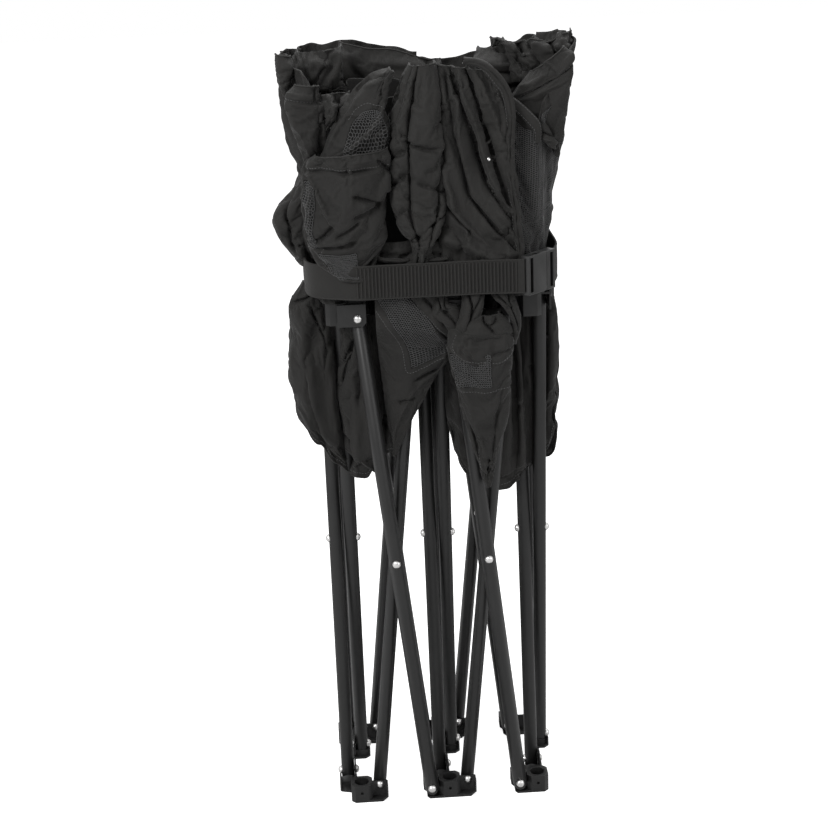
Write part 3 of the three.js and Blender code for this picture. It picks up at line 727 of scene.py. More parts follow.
    def build_rivets(self) -> None:
        """Makes every rivet head, one object for each body, and clears the plain ones away."""
        self.note_row_rivets()
        self.note_side_rivets()
        domes = DomeHeads(self.palette.rivet)
        for body, heads in self.rivets.items():
            thing = domes.place(f"{body}_rivet_heads", heads)
            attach(thing, body)
            nodes = [n for n in frame["record"]["behaviour"]["bodies"][body] if n.startswith("rivet_")]
            if nodes:
                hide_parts(*nodes)

    def build_mouldings(self) -> None:
        """Softens the edges of the feet, upper fittings, caps and arm posts."""
        looks = (
            (("foot_", "hub_", "cap_"), 0.4, self.palette.fitting, "fitting"),
            (("post_arm",), 0.5, self.palette.tube, "frame"),
            (("buckle",), 0.7, self.palette.buckle, "buckle"),
        )
        for node in list(frame["nodes"]):
            for starts, width, material, slot in looks:
                if node.startswith(starts):
                    self.softened(node, width, material)

    def build_shoes(self) -> None:
        """Makes the channel in which each side bar's foot stands, on the foot's own body."""
        z, shoe = self.sizes, ShoeSizes()
        far = z.layer + z.tube + shoe.play
        outer, end = far + shoe.wall, z.side_reach + shoe.past_pivot
        turn = shoe.start + shoe.corner
        floor = [(shoe.near, shoe.start), (far, turn), (outer, turn + shoe.wall), (outer, end - shoe.corner),
                 (outer - shoe.corner, end), (shoe.near, end)]
        side_wall = [(far, turn - 1), (outer, turn + 1), (outer, end - shoe.corner),
                     (far, end - shoe.corner + shoe.wall)]
        for hand in Hand:
            for row, side, y, way in (("front", -1, 0.0, 1), ("rear", 1, z.depth, -1)):
                foot = f"foot_{row}_{hand.word}"
                work = bmesh.new()
                for outline, levels in ((floor, shoe.floor_levels), (side_wall, shoe.wall_levels)):
                    spots = [(hand.value * z.column + side * a, y + way * b) for a, b in outline]
                    rings = [[work.verts.new(Vector((*spot, level)) * MM) for spot in spots]
                             for level in levels]
                    for ring in rings:
                        work.faces.new(ring)
                    for k in range(len(outline)):
                        after = (k + 1) % len(outline)
                        work.faces.new((rings[0][k], rings[0][after], rings[1][after], rings[1][k]))
                bmesh.ops.recalc_face_normals(work, faces=work.faces)
                thing = self.rounded(f"{foot}_channel", work, work.edges[:], shoe.rounding,
                                     self.palette.fitting)
                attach(thing, self.body_of(foot))

    def rounded(self, name: str, work: bmesh.types.BMesh, edges: list[bmesh.types.BMEdge], width: float,
                material: bpy.types.Material) -> bpy.types.Object:
        """Rounds edges of a mesh in work and makes the object of it.

        Args:
            name: The object's name.
            work: The mesh in work, in metres, which is used up.
            edges: The edges.
            width: The rounding's width, in millimetres.
            material: The finish.

        Returns:
            The object.
        """
        bmesh.ops.bevel(work, geom=edges, offset=width * MM, offset_type="OFFSET", segments=2, profile=0.6,
                        affect="EDGES", clamp_overlap=True)
        mesh = bpy.data.meshes.new(name)
        work.to_mesh(mesh)
        work.free()
        shade(mesh, self.MOULDED_SHADE)
        return make_object(name, mesh, material)

    def softened(self, node: str, width: float, material: bpy.types.Material) -> None:
        """Stands a copy of a CAD node with rounded edges in its place.

        Args:
            node: The node's name.
            width: The rounding's width, in millimetres.
            material: The finish.
        """
        work = bmesh.new()
        work.from_mesh(frame["nodes"][node].data)
        bmesh.ops.remove_doubles(work, verts=work.verts, dist=2e-6)
        bmesh.ops.dissolve_limit(work, angle_limit=math.radians(1), verts=work.verts, edges=work.edges)
        sharp = [e for e in work.edges if len(e.link_faces) == 2 and e.calc_face_angle(0) > self.SHARP_ANGLE]
        thing = self.rounded(f"{node}_moulded", work, sharp, width, material)
        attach(thing, self.body_of(node))
        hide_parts(node)

    def build(self) -> None:
        """Makes the whole frame."""
        self.build_tubes()
        self.build_mouldings()
        self.build_shoes()
        self.build_rivets()
        LOG.info("frame: %d bars, %d bodies with rivets", len(self.bars()), len(self.rivets))


# Geometry node tools


class NodeTool(Tree):
    """A geometry node tree built in the script, run once on a helper mesh."""

    def __init__(self, name: str, sizes: dict[str, float]) -> None:
        """Starts the tree.

        Args:
            name: The tree's name.
            sizes: Its named number inputs, with their values.
        """
        super().__init__(bpy.data.node_groups.new(name, "GeometryNodeTree"))
        self.tree.interface.new_socket("Geometry", in_out="INPUT", socket_type="NodeSocketGeometry")
        self.sizes = sizes
        for key in sizes:
            self.tree.interface.new_socket(key, in_out="INPUT", socket_type="NodeSocketFloat")
        self.tree.interface.new_socket("Geometry", in_out="OUTPUT", socket_type="NodeSocketGeometry")
        self.inputs = self.tree.nodes.new("NodeGroupInput")
        self.outputs = self.tree.nodes.new("NodeGroupOutput")

    def size(self, key: str) -> bpy.types.NodeSocket:
        """The socket of a named size."""
        return self.inputs.outputs[key]

    def beads(self, points: bpy.types.NodeSocket, turn: bpy.types.NodeSocket, cuts: tuple[int, int],
              radius: str, height: str, material: bpy.types.Material) -> None:
        """Ends the tree with balls on points.

        Args:
            points: Where they stand.
            turn: The direction of each ball's height.
            cuts: The ball's segments and rings.
            radius: The name of its radius.
            height: The name of its half height.
            material: The finish.
        """
        ball = self.add("GeometryNodeMeshUVSphere", Segments=cuts[0], Rings=cuts[1], Radius=1.0)
        scale = self.add("ShaderNodeCombineXYZ", X=self.size(radius), Y=self.size(radius),
                         Z=self.size(height))
        shaped = self.add("GeometryNodeTransform", Geometry=ball.outputs[0], Scale=scale.outputs[0])
        smooth = self.add("GeometryNodeSetShadeSmooth", Geometry=shaped.outputs[0])
        facing = self.add("FunctionNodeAlignRotationToVector", Vector=turn)
        placed = self.add("GeometryNodeInstanceOnPoints", Points=points, Instance=smooth.outputs[0],
                          Rotation=facing.outputs[0])
        self.close(placed.outputs[0], material)

    def pipes(self, mesh: bpy.types.NodeSocket, sides: int, radius: str,
              material: bpy.types.Material) -> None:
        """Ends the tree with pipes along a mesh's edges.

        Args:
            mesh: The mesh.
            sides: The pipe's sides.
            radius: The name of its radius.
            material: The finish.
        """
        curve = self.add("GeometryNodeMeshToCurve", Mesh=mesh)
        profile = self.add("GeometryNodeCurvePrimitiveCircle", Resolution=sides, Radius=self.size(radius))
        pipe = self.add("GeometryNodeCurveToMesh", Curve=curve.outputs[0], Profile_Curve=profile.outputs[0],
                        Fill_Caps=True)
        smooth = self.add("GeometryNodeSetShadeSmooth", Geometry=pipe.outputs[0])
        self.close(smooth.outputs[0], material)

    def close(self, geometry: bpy.types.NodeSocket, material: bpy.types.Material) -> None:
        """Ends the tree with realized instances and the material."""
        real = self.add("GeometryNodeRealizeInstances", i0=geometry)
        dressed = self.add("GeometryNodeSetMaterial", Geometry=real.outputs[0], Material=material)
        self.tree.links.new(dressed.outputs[0], self.outputs.inputs[0])

    def run(self, name: str, mesh: bpy.types.Mesh, sizes: dict[str, float] | None = None) -> bpy.types.Mesh:
        """Runs the tree on a mesh.

        Args:
            name: The new mesh's name.
            mesh: The helper mesh, which is used up.
            sizes: Sizes that differ from the tree's own.

        Returns:
            The result.
        """
        helper = bpy.data.objects.new(name, mesh)
        bpy.context.scene.collection.objects.link(helper)
        modifier = helper.modifiers.new("nodes", "NODES")
        modifier.node_group = self.tree
        wanted = {**self.sizes, **(sizes or {})}
        for item in self.tree.interface.items_tree:
            if item.in_out == "INPUT" and item.name in wanted:
                modifier[item.identifier] = float(wanted[item.name])
        result = baked(helper)
        result.name = name
        remove(helper)
        return result


class DomeHeads(NodeTool):
    """Domed rivet heads on points, each turned to the point's own direction."""

    def __init__(self, material: bpy.types.Material) -> None:
        """Builds the tree."""
        super().__init__("dome heads", {"Radius": 4.9 * MM, "Height": 3.9 * MM})
        self.material = material
        way = self.add("GeometryNodeInputNamedAttribute", {"data_type": "FLOAT_VECTOR"}, Name="way")
        self.beads(self.inputs.outputs[0], way.outputs[0], (28, 14), "Radius", "Height", material)

    def place(self, name: str, heads: Sequence[tuple[Vector, Vector]],
              sizes: dict[str, float] | None = None) -> bpy.types.Object:
        """Makes the heads of one body.

        Args:
            name: The object's name.
            heads: Each head's place in millimetres and its direction.
            sizes: Sizes that differ from the usual ones.

        Returns:
            The object.
        """
        mesh = mesh_from(np.array([p for p, _ in heads]) * MM, [], name)
        way = mesh.attributes.new("way", "FLOAT_VECTOR", "POINT")
        way.data.foreach_set("vector", np.array([tuple(w) for _, w in heads], float).ravel())
        return make_object(name, self.run(name, mesh, sizes), self.material)


class Piping(NodeTool):
    """A flat rolled edge or cord sewn along lines."""

    def __init__(self, material: bpy.types.Material) -> None:
        """Builds the tree."""
        super().__init__("piping", {"Radius": 1.1 * MM})
        self.pipes(self.inputs.outputs[0], 8, "Radius", material)


class Stitches(NodeTool):
    """Short threads in a row along lines."""

    def __init__(self, material: bpy.types.Material) -> None:
        """Builds the tree."""
        super().__init__("stitches", {"Pitch": 3.4 * MM, "Length": 1.25 * MM, "Radius": 0.42 * MM})
        curve = self.add("GeometryNodeMeshToCurve", Mesh=self.inputs.outputs[0])
        spaced = self.add("GeometryNodeResampleCurve", {"mode": "LENGTH"}, Curve=curve.outputs[0],
                          Length=self.size("Pitch"))
        tangent = self.add("GeometryNodeInputTangent")
        self.beads(spaced.outputs[0], tangent.outputs[0], (6, 4), "Radius", "Length", material)


class HexNet(NodeTool):
    """A knitted net: the cells of a patch turned to hexagons of thread."""

    def __init__(self, material: bpy.types.Material) -> None:
        """Builds the tree."""
        super().__init__("hex net", {"Thread": 0.42 * MM})
        cells = self.add("GeometryNodeTriangulate", i0=self.inputs.outputs[0])
        dual = self.add("GeometryNodeDualMesh", Mesh=cells.outputs[0])
        self.pipes(dual.outputs[0], 4, "Thread", material)


# Cloth tools


def eased(table: Sequence[float], place: np.ndarray) -> np.ndarray:
    """Values along a table of evenly spaced values, eased from each to the next.

    Args:
        table: The values.
        place: Where to read, from 0 to 1.

    Returns:
        The value at each place.
    """
    values = np.asarray(table, float)
    at = np.clip(place, 0, 1) * (len(values) - 1)
    i = np.minimum(at.astype(int), len(values) - 2)
    f = at - i
    f = f * f * (3 - 2 * f)
    return values[i] * (1 - f) + values[i + 1] * f


def through(points: Sequence[Sequence[float]], place: np.ndarray) -> np.ndarray:
    """Points on a smooth curve through others, spaced evenly by its control points.

    Args:
        points: What the curve passes through.
        place: Where to read, from 0 to 1.

    Returns:
        One point for each place.
    """
    p = np.asarray(points, float)
    p = np.vstack([2 * p[0] - p[1], p, 2 * p[-1] - p[-2]])
    at = np.clip(place, 0, 1) * (len(points) - 1)
    i = np.minimum(at.astype(int), len(points) - 2)
    f = (at - i)[:, None]
    a, b, c, d = p[i], p[i + 1], p[i + 2], p[i + 3]
    return 0.5 * (2 * b + (c - a) * f + (2 * a - 5 * b + 4 * c - d) * f**2 + (3 * b - a - 3 * c + d) * f**3)


def across(inset: float, down: float) -> list[Pair]:
    """A level line from side to side of a cloth, as shares."""
    return [(inset, down), (0.5, down), (1 - inset, down)]


def upright(along: float, start: float, end: float) -> list[Pair]:
    """A line down a cloth, as shares."""
    return [(along, start), (along, 0.5), (along, end)]


@dataclass(frozen=True)
class Crease:
    """A fold or seam across a cloth: the shares along and down it of its two ends, its height and its width."""

    s0: float
    t0: float
    s1: float
    t1: float
    height: float
    width: float
    sharp: bool = True


RUFFLE_SHARE = 0.66
"""How much of each ruffle's height the cloth shows, as the photographed cloth is rather taut."""


@dataclass(frozen=True)
class Ruffle:
    """Small folds all over a cloth: their height and their sizes along and down it, in millimetres."""

    height: float
    along: float
    down: float
    seed: int
    turn: float = 0.0


def grid_faces(columns: int, rows: int) -> list[tuple[int, int, int, int]]:
    """The faces of a grid, turned outward for cloth whose outside lies to the right of its run."""
    row = columns + 1
    starts = [j * row + i for j in range(rows) for i in range(columns)]
    return [(a, a + row, a + row + 1, a + 1) for a in starts]


class ClothSurface:
    """A grid of points on a cloth, in millimetres. Its outside lies to the right of its run, seen from above."""

    PRESSED_HEIGHT, PRESSED_WIDTH, LEAST_WIDTH = 0.95, 0.5, 1.3
    SAMPLES, NEARBY = 200, 0.004

    def __init__(self, points: np.ndarray) -> None:
        """Keeps the grid.

        Args:
            points: The points, as rows from the top down of columns along the run.
        """
        self.points = points
        self.pressed: list[Crease] = []
        self.s = np.linspace(0, 1, points.shape[1])[None, :].repeat(points.shape[0], 0)
        self.t = np.linspace(0, 1, points.shape[0])[:, None].repeat(points.shape[1], 1)

    @classmethod
    def hanging(
        cls,
        path: Sequence[Pair],
        top: Sequence[float],
        bottom: Sequence[float],
        folds: Sequence[float] = (0, 0),
        bulge: Sequence[float] = (1, 1),
        fold_depth: float = 0.0,
        lean: float = 0.0,
        stand: float = 3.0,
        cell: float = 4.2,
    ) -> "ClothSurface":
        """Cloth that hangs from a path seen from above.

        Args:
            path: The path's points.
            top: Heights of the top edge, evenly along the path.
            bottom: Heights of the bottom edge.
            folds: Shares of the fold depth, evenly along the path.
            bulge: Shares of the fold depth, evenly from the top down.
            fold_depth: The deepest fold.
            lean: How far it moves to +Y for each step down.
            stand: How far outside the path it lies.
            cell: The grid's step.

        Returns:
            The surface.
        """
        dense = np.linspace(0, 1, cls.SAMPLES)
        run = through(path, dense)
        push = fold_depth * eased(folds, dense) * float(np.max(bulge))
        heading = np.gradient(run, axis=0)
        heading /= np.linalg.norm(heading, axis=1)[:, None]
        out = run + np.stack([heading[:, 1], -heading[:, 0]], 1) * push[:, None]
        length = np.concatenate([[0], np.cumsum(np.linalg.norm(np.diff(out, axis=0), axis=1))])
        columns = max(6, int(length[-1] / cell))
        rows = max(4, int((np.mean(top) - np.mean(bottom)) / cell))
        place = np.interp(np.linspace(0, length[-1], columns + 1), length, dense)
        point = through(path, place)
        after, before = (through(path, np.clip(place + way, 0, 1)) for way in (cls.NEARBY, -cls.NEARBY))
        step = after - before
        step /= np.linalg.norm(step, axis=1)[:, None]
        t = np.linspace(0, 1, rows + 1)[:, None]
        depth = fold_depth * eased(folds, place)[None, :] * eased(bulge, t) + stand
        z = eased(top, place)[None, :] * (1 - t) + eased(bottom, place)[None, :] * t
        x = point[None, :, 0] + step[None, :, 1] * depth
        y = point[None, :, 1] - step[None, :, 0] * depth + lean * (eased(top, place)[None, :].max() - z)
        return cls(np.stack([x, y, z], 2))

    @classmethod
    def panel(
        cls,
        left: Sequence[Pair],
        right: Sequence[Pair],
        front: float,
        crown: float,
        wrap: float = 0.0,
        roundness: float = 0.5,
        lean: Sequence[float] = (0, 0),
        cell: float = 3.2,
    ) -> "ClothSurface":
        """Cloth seen face on from the front, between a left and a right edge.

        Args:
            left: The left edge's points in X and Z, from the top down.
            right: The right edge's points.
            front: The Y of its edges.
            crown: How far its middle comes forward.
            wrap: How far its two outer columns turn back.
            roundness: The power that shapes the crown, lower for a fuller one.
            lean: Moves along Y, evenly from the top down.
            cell: The grid's step.

        Returns:
            The surface.
        """
        t_probe = np.linspace(0, 1, 60)
        a, b = through(left, t_probe), through(right, t_probe)
        width = np.linalg.norm(a - b, axis=1).max() + 2 * wrap
        height = np.linalg.norm(np.diff((a + b) / 2, axis=0), axis=1).sum()
        columns, rows = max(5, int(width / cell)), max(5, int(height / cell))
        t = np.linspace(0, 1, rows + 1)
        a, b = through(left, t)[:, None, :], through(right, t)[:, None, :]
        s = np.linspace(0, 1, columns + 1)
        turn = wrap / max(width, 1e-6)
        inner = np.clip((s - turn) / (1 - 2 * turn), 0, 1)[None, :, None]
        flat = a * (1 - inner) + b * inner
        fullness = np.sin(np.pi * np.clip(inner[0, :, 0], 0, 1)) ** roundness
        back = np.maximum(0, np.maximum(turn - s, s - 1 + turn)) * width
        y = front - crown * fullness[None, :] + back[None, :] + eased(lean, t)[:, None]
        return cls(np.stack([flat[:, :, 0], y, flat[:, :, 1]], 2))

    @property
    def shape(self) -> tuple[int, int]:
        """Columns and rows of cells."""
        return self.points.shape[1] - 1, self.points.shape[0] - 1

    def outward(self) -> np.ndarray:
        """The outward direction at each point."""
        along = np.gradient(self.points, axis=1)
        down = np.gradient(self.points, axis=0)
        normal = np.cross(down, along)
        return normal / np.maximum(np.linalg.norm(normal, axis=2, keepdims=True), 1e-9)

    def lengths(self) -> Pair:
        """The mean length along and down, in millimetres."""
        along = np.linalg.norm(np.diff(self.points, axis=1), axis=2).sum(1).mean()
        down = np.linalg.norm(np.diff(self.points, axis=0), axis=2).sum(0).mean()
        return float(along), float(down)

    def cut_size(self) -> tuple[Pair, float]:
        """The sides in metres and the area in square metres of the flat cut."""
        along = np.linalg.norm(np.diff(self.points, axis=1), axis=2).sum(1).max() * MM
        down = np.linalg.norm(np.diff(self.points, axis=0), axis=2).sum(0).max() * MM
        a = self.points[1:, 1:] - self.points[:-1, :-1]
        b = self.points[1:, :-1] - self.points[:-1, 1:]
        area = 0.5 * np.linalg.norm(np.cross(a, b), axis=2).sum() * MM * MM
        return (float(along), float(down)), float(min(area, along * down))

    def flat(self) -> tuple[np.ndarray, np.ndarray]:
        """Each point's distance along and down the cloth, in millimetres."""
        along = np.linalg.norm(np.diff(self.points, axis=1), axis=2).mean(0)
        down = np.linalg.norm(np.diff(self.points, axis=0), axis=2).mean(1)
        u = np.concatenate([[0], np.cumsum(along)])[None, :].repeat(self.points.shape[0], 0)
        v = np.concatenate([[0], np.cumsum(down)])[:, None].repeat(self.points.shape[1], 1)
        return u, v

    def crease(self, creases: Sequence[Crease]) -> None:
        """Presses creases into the cloth."""
        u, v = self.flat()
        length, height = u.max(), v.max()
        push = np.zeros_like(u)
        for c in creases:
            a = np.array([c.s0 * length, c.t0 * height])
            along = np.array([c.s1 * length, c.t1 * height]) - a
            share = np.clip(((u - a[0]) * along[0] + (v - a[1]) * along[1]) / max(along @ along, 1e-9), 0, 1)
            gap = np.hypot(u - a[0] - share * along[0], v - a[1] - share * along[1]) / c.width
            profile = np.exp(-gap) if c.sharp else np.exp(-gap**2)
            ends = np.clip(np.minimum(share, 1 - share) * 6 + 0.35, 0, 1)
            push += c.height * profile * ends
        self.points = self.points + self.outward() * push[:, :, None]

    def fold(self, rows: Iterable[Sequence[float]]) -> None:
        """Presses in creases that are given as rows, and keeps them to press again."""
        creases = [Crease(*row) for row in rows]
        self.pressed += creases
        self.crease(creases)

    def press(self) -> None:
        """Sharpens the inward creases of settled cloth."""
        inward = (c for c in self.pressed if c.sharp and c.height < 0)
        self.crease([
            replace(c, height=c.height * self.PRESSED_HEIGHT,
                    width=max(self.LEAST_WIDTH, c.width * self.PRESSED_WIDTH))
            for c in inward])

    def refine(self) -> None:
        """Halves the grid's cells with a smooth curve through its points."""
        points = self.points
        for _ in range(2):
            wide = np.concatenate([2 * points[:1] - points[1:2], points, 2 * points[-1:] - points[-2:-1]])
            fine = np.empty((2 * len(points) - 1, *points.shape[1:]))
            fine[::2] = points
            fine[1::2] = (9 * (wide[1:-2] + wide[2:-1]) - wide[:-3] - wide[3:]) / 16
            points = fine.transpose(1, 0, 2)
        self.points = points
        self.s = np.linspace(0, 1, points.shape[1])[None, :].repeat(points.shape[0], 0)
        self.t = np.linspace(0, 1, points.shape[0])[:, None].repeat(points.shape[1], 1)

    def ruffle(self, *rows: Sequence[float]) -> None:
        """Adds small folds all over, fading at the edges, in layers that are given as rows."""
        u, v = self.flat()
        push = np.zeros_like(u)
        for layer in (Ruffle(*row) for row in rows):
            cos, sin = math.cos(layer.turn), math.sin(layer.turn)
            p, q = (u * cos + v * sin) / layer.along, (v * cos - u * sin) / layer.down
            values = np.empty_like(u)
            for index in np.ndindex(u.shape):
                place = Vector((p[index], q[index], layer.seed * 7.31))
                bend = noise.noise(place * 0.6 + Vector((3.1, 1.7, 0.4)))
                values[index] = noise.noise(place + Vector((bend, bend, 0)))
            push += RUFFLE_SHARE * layer.height * (0.45 - np.abs(values) * 2.2)
        fade = np.clip(np.minimum(self.t, 1 - self.t) * 9 + 0.25, 0, 1)
        self.points = self.points + self.outward() * (push * fade)[:, :, None]

    def scallop(self, height: float, size: float, seed: int) -> None:
        """Lifts and drops the top edge unevenly, fading over a third of the cloth.

        Args:
            height: The largest change.
            size: The length of one wave.
            seed: Chooses the waves.
        """
        u, _ = self.flat()
        wave = np.array([noise.noise(Vector((x / size, seed * 5.7, 0.3))) for x in u[0]]) * 1.6
        fade = np.clip(1 - self.t * 3, 0, 1) ** 1.5
        self.points[:, :, 2] += height * wave[None, :] * fade

    def at(self, shares: Sequence[Pair], step: float = 1.5, lift: float = 0.8) -> np.ndarray:
        """Points along a line on the cloth.

        Args:
            shares: The line's corners, as shares along and down the cloth.
            step: The spacing, in millimetres.
            lift: How far outside the cloth the points lie.

        Returns:
            The points, in millimetres.
        """
        u_max, v_max = self.lengths()
        corners = np.asarray(shares, float)
        length = np.linalg.norm(np.diff(corners * [u_max, v_max], axis=0), axis=1).sum()
        place = through(corners, np.linspace(0, 1, max(3, int(length / step))))
        return self.sample(place[:, 0], place[:, 1], lift)

    def sample(self, s: np.ndarray, t: np.ndarray, lift: float) -> np.ndarray:
        """Points on the cloth at shares along and down it, lifted off its outside."""
        columns, rows = self.shape
        lifted = self.points + self.outward() * lift
        x, y = np.clip(s, 0, 1) * columns, np.clip(t, 0, 1) * rows
        i, j = np.minimum(x.astype(int), columns - 1), np.minimum(y.astype(int), rows - 1)
        fx, fy = (x - i)[..., None], (y - j)[..., None]
        top = lifted[j, i] * (1 - fx) + lifted[j, i + 1] * fx
        low = lifted[j + 1, i] * (1 - fx) + lifted[j + 1, i + 1] * fx
        return top * (1 - fy) + low * fy

    def mesh(self, name: str) -> bpy.types.Mesh:
        """The grid as a mesh in metres with its own UV map, in metres along and down the cloth."""
        columns, rows = self.shape
        mesh = mesh_from(self.points.reshape(-1, 3) * MM, grid_faces(columns, rows), name)
        u, v = self.flat()
        flat = np.stack([u.ravel(), -v.ravel()], 1) * MM
        layer = mesh.uv_layers.new(name="sheet")
        corner = np.empty(len(mesh.loops), int)
        mesh.loops.foreach_get("vertex_index", corner)
        layer.data.foreach_set("uv", flat[corner].ravel())
        return mesh


@dataclass
class Tailored:
    """One cloth piece on its way from a surface to a finished object."""

    name: str
    surface: ClothSurface
    nodes: tuple[str, ...]
    body: str
    material: bpy.types.Material
    slot: str = "cloth"
    growth: float = 0.05
    cap: float = 7.0
    pressure: float = 0.0
    pins: tuple[str, ...] = ("top", "bottom", "left", "right")
    thickness: float = 1.4
    blend: tuple[str, str, Triple, Triple] | None = None
    squash: tuple[str, Triple, Triple, float] | None = None
    padded: bool = False
    held: str = "hung"
    seams: list[list[Pair]] = field(default_factory=list)
    hems: list[list[Pair]] = field(default_factory=list)
    nets: list["NetPatch"] = field(default_factory=list)
    studs: list[Pair] = field(default_factory=list)
    helper: bpy.types.Object | None = None


@dataclass(frozen=True)
class NetPatch:
    """A patch of net on a cloth: its range along and down it as shares, or its four corners."""

    along: Pair
    down: Pair
    cell: float = 2.7
    oval: bool = False
    lift: float = 1.3
    corners: tuple[Pair, ...] = ()


class Workroom:
    """Settles cloth by simulation, then sews, thickens and mounts it."""

    FRAMES = 18
    GRAVITY = 0.15
    FABRIC = {
        "quality": 5, "mass": 0.25, "tension_stiffness": 18, "compression_stiffness": 18,
        "shear_stiffness": 6, "bending_stiffness": 0.6,
    }
    HEM_LIFT = 0.4
    SEAM_LIFT = 0.75
    STUD_FOOT, STUD_TIP, STUD_RADIUS, STUD_HEIGHT = 0.8, 1.8, 2.6, 1.5
    # How far under its net the sheet of painted shade lies, in millimetres.
    GROUND_DROP = 0.5

    def __init__(self, palette: Palette) -> None:
        """Builds the sewing tools.

        Args:
            palette: The finishes.
        """
        self.palette = palette
        self.pieces: list[Tailored] = []
        self.piping = Piping(palette.cloth)
        self.stitches = Stitches(palette.thread)
        self.net = HexNet(palette.net)
        self.heads = DomeHeads(palette.rivet)

    def cut(self, *pieces: Tailored) -> None:
        """Takes pieces in."""
        self.pieces += pieces

    def prepare(self, piece: Tailored) -> None:
        """Puts a piece in the scene with its cloth simulation."""
        mesh = piece.surface.mesh(f"{piece.name}_cut")
        thing = bpy.data.objects.new(f"{piece.name}_cut", mesh)
        bpy.context.scene.collection.objects.link(thing)
        columns, rows = piece.surface.shape
        index = np.arange((columns + 1) * (rows + 1)).reshape(rows + 1, columns + 1)
        edges = {"top": index[0], "bottom": index[-1], "left": index[:, 0], "right": index[:, -1]}
        pins = thing.vertex_groups.new(name="pins")
        for word in piece.pins:
            pins.add([int(k) for k in edges[word]], 1.0, "REPLACE")
        modifier = thing.modifiers.new("cloth", "CLOTH")
        settings = modifier.settings
        grown = {"vertex_group_mass": "pins", "shrink_min": -piece.growth, "shrink_max": -piece.growth}
        for key, value in {**self.FABRIC, **grown}.items():
            setattr(settings, key, value)
        settings.effector_weights.gravity = self.GRAVITY
        if piece.pressure:
            settings.use_pressure = True
            settings.uniform_pressure_force = piece.pressure
        modifier.collision_settings.use_collision = False
        modifier.point_cache.frame_start = 1
        modifier.point_cache.frame_end = self.FRAMES
        piece.helper = thing

    def settle(self) -> None:
        """Runs every simulation together and reads the cloths back, each point moved no further than its cap."""
        moving = [p for p in self.pieces if p.growth > 0]
        if not moving:
            return
        for piece in moving:
            self.prepare(piece)
        for step in range(1, self.FRAMES + 1):
            bpy.context.scene.frame_set(step)
        graph = bpy.context.evaluated_depsgraph_get()
        for piece in moving:
            settled = piece.helper.evaluated_get(graph).data
            found = np.empty(len(settled.vertices) * 3)
            settled.vertices.foreach_get("co", found)
            found = found.reshape(piece.surface.points.shape) / MM
            step = np.nan_to_num(found - piece.surface.points)
            far = np.linalg.norm(step, axis=2, keepdims=True)
            step *= np.minimum(1, piece.cap / np.maximum(far, 1e-9))
            piece.surface.points = piece.surface.points + step
        bpy.context.scene.frame_set(1)
        for piece in moving:
            remove(piece.helper)
            piece.helper = None

    def mount(self, thing: bpy.types.Object, piece: Tailored) -> None:
        """Attaches an object to its cloth's body, with a mesh of its own where the piece has a squash; an object whose
        piece has a blend is left unattached, its transform baked into its mesh.
        """
        if piece.blend:
            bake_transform(thing)
            return
        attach(thing, piece.body)
        if piece.squash:
            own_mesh(thing)

    def sew(self, piece: Tailored) -> list[bpy.types.Object]:
        """Makes the hems, stitches and nets of a piece, with a dark sheet of painted shade under each net.

        Args:
            piece: The cloth.

        Returns:
            The objects.
        """
        made = []
        surface = piece.surface
        if piece.hems:
            lines = [surface.at(line, lift=self.HEM_LIFT) for line in piece.hems]
            mesh = self.piping.run(f"{piece.name}_hems", loose_lines(lines))
            made.append(make_object(f"{piece.name}_hems", mesh, self.palette.cloth))
        if piece.seams:
            lines = [surface.at(line, lift=self.SEAM_LIFT) for line in piece.seams]
            mesh = self.stitches.run(f"{piece.name}_stitches", loose_lines(lines))
            made.append(make_object(f"{piece.name}_stitches", mesh, self.palette.thread))
        if piece.studs:
            s, t = np.array(piece.studs).T
            spots, tips = (surface.sample(s, t, lift) for lift in (self.STUD_FOOT, self.STUD_TIP))
            heads = [(Vector(a), Vector(b - a)) for a, b in zip(spots, tips)]
            size = {"Radius": self.STUD_RADIUS * MM, "Height": self.STUD_HEIGHT * MM}
            made.append(self.heads.place(f"{piece.name}_studs", heads, size))
        for k, patch in enumerate(piece.nets):
            mesh = self.net.run(f"{piece.name}_net_{k}", self.patch_mesh(surface, patch, patch.lift))
            made.append(make_object(f"{piece.name}_net_{k}", mesh, self.palette.net))
            # A dark sheet just under the net paints the shade seen through its holes.
            shade_sheet = self.patch_mesh(surface, patch, patch.lift - self.GROUND_DROP)
            made.append(make_object(f"{piece.name}_net_ground_{k}", shade_sheet, self.palette.hollow))
        return made

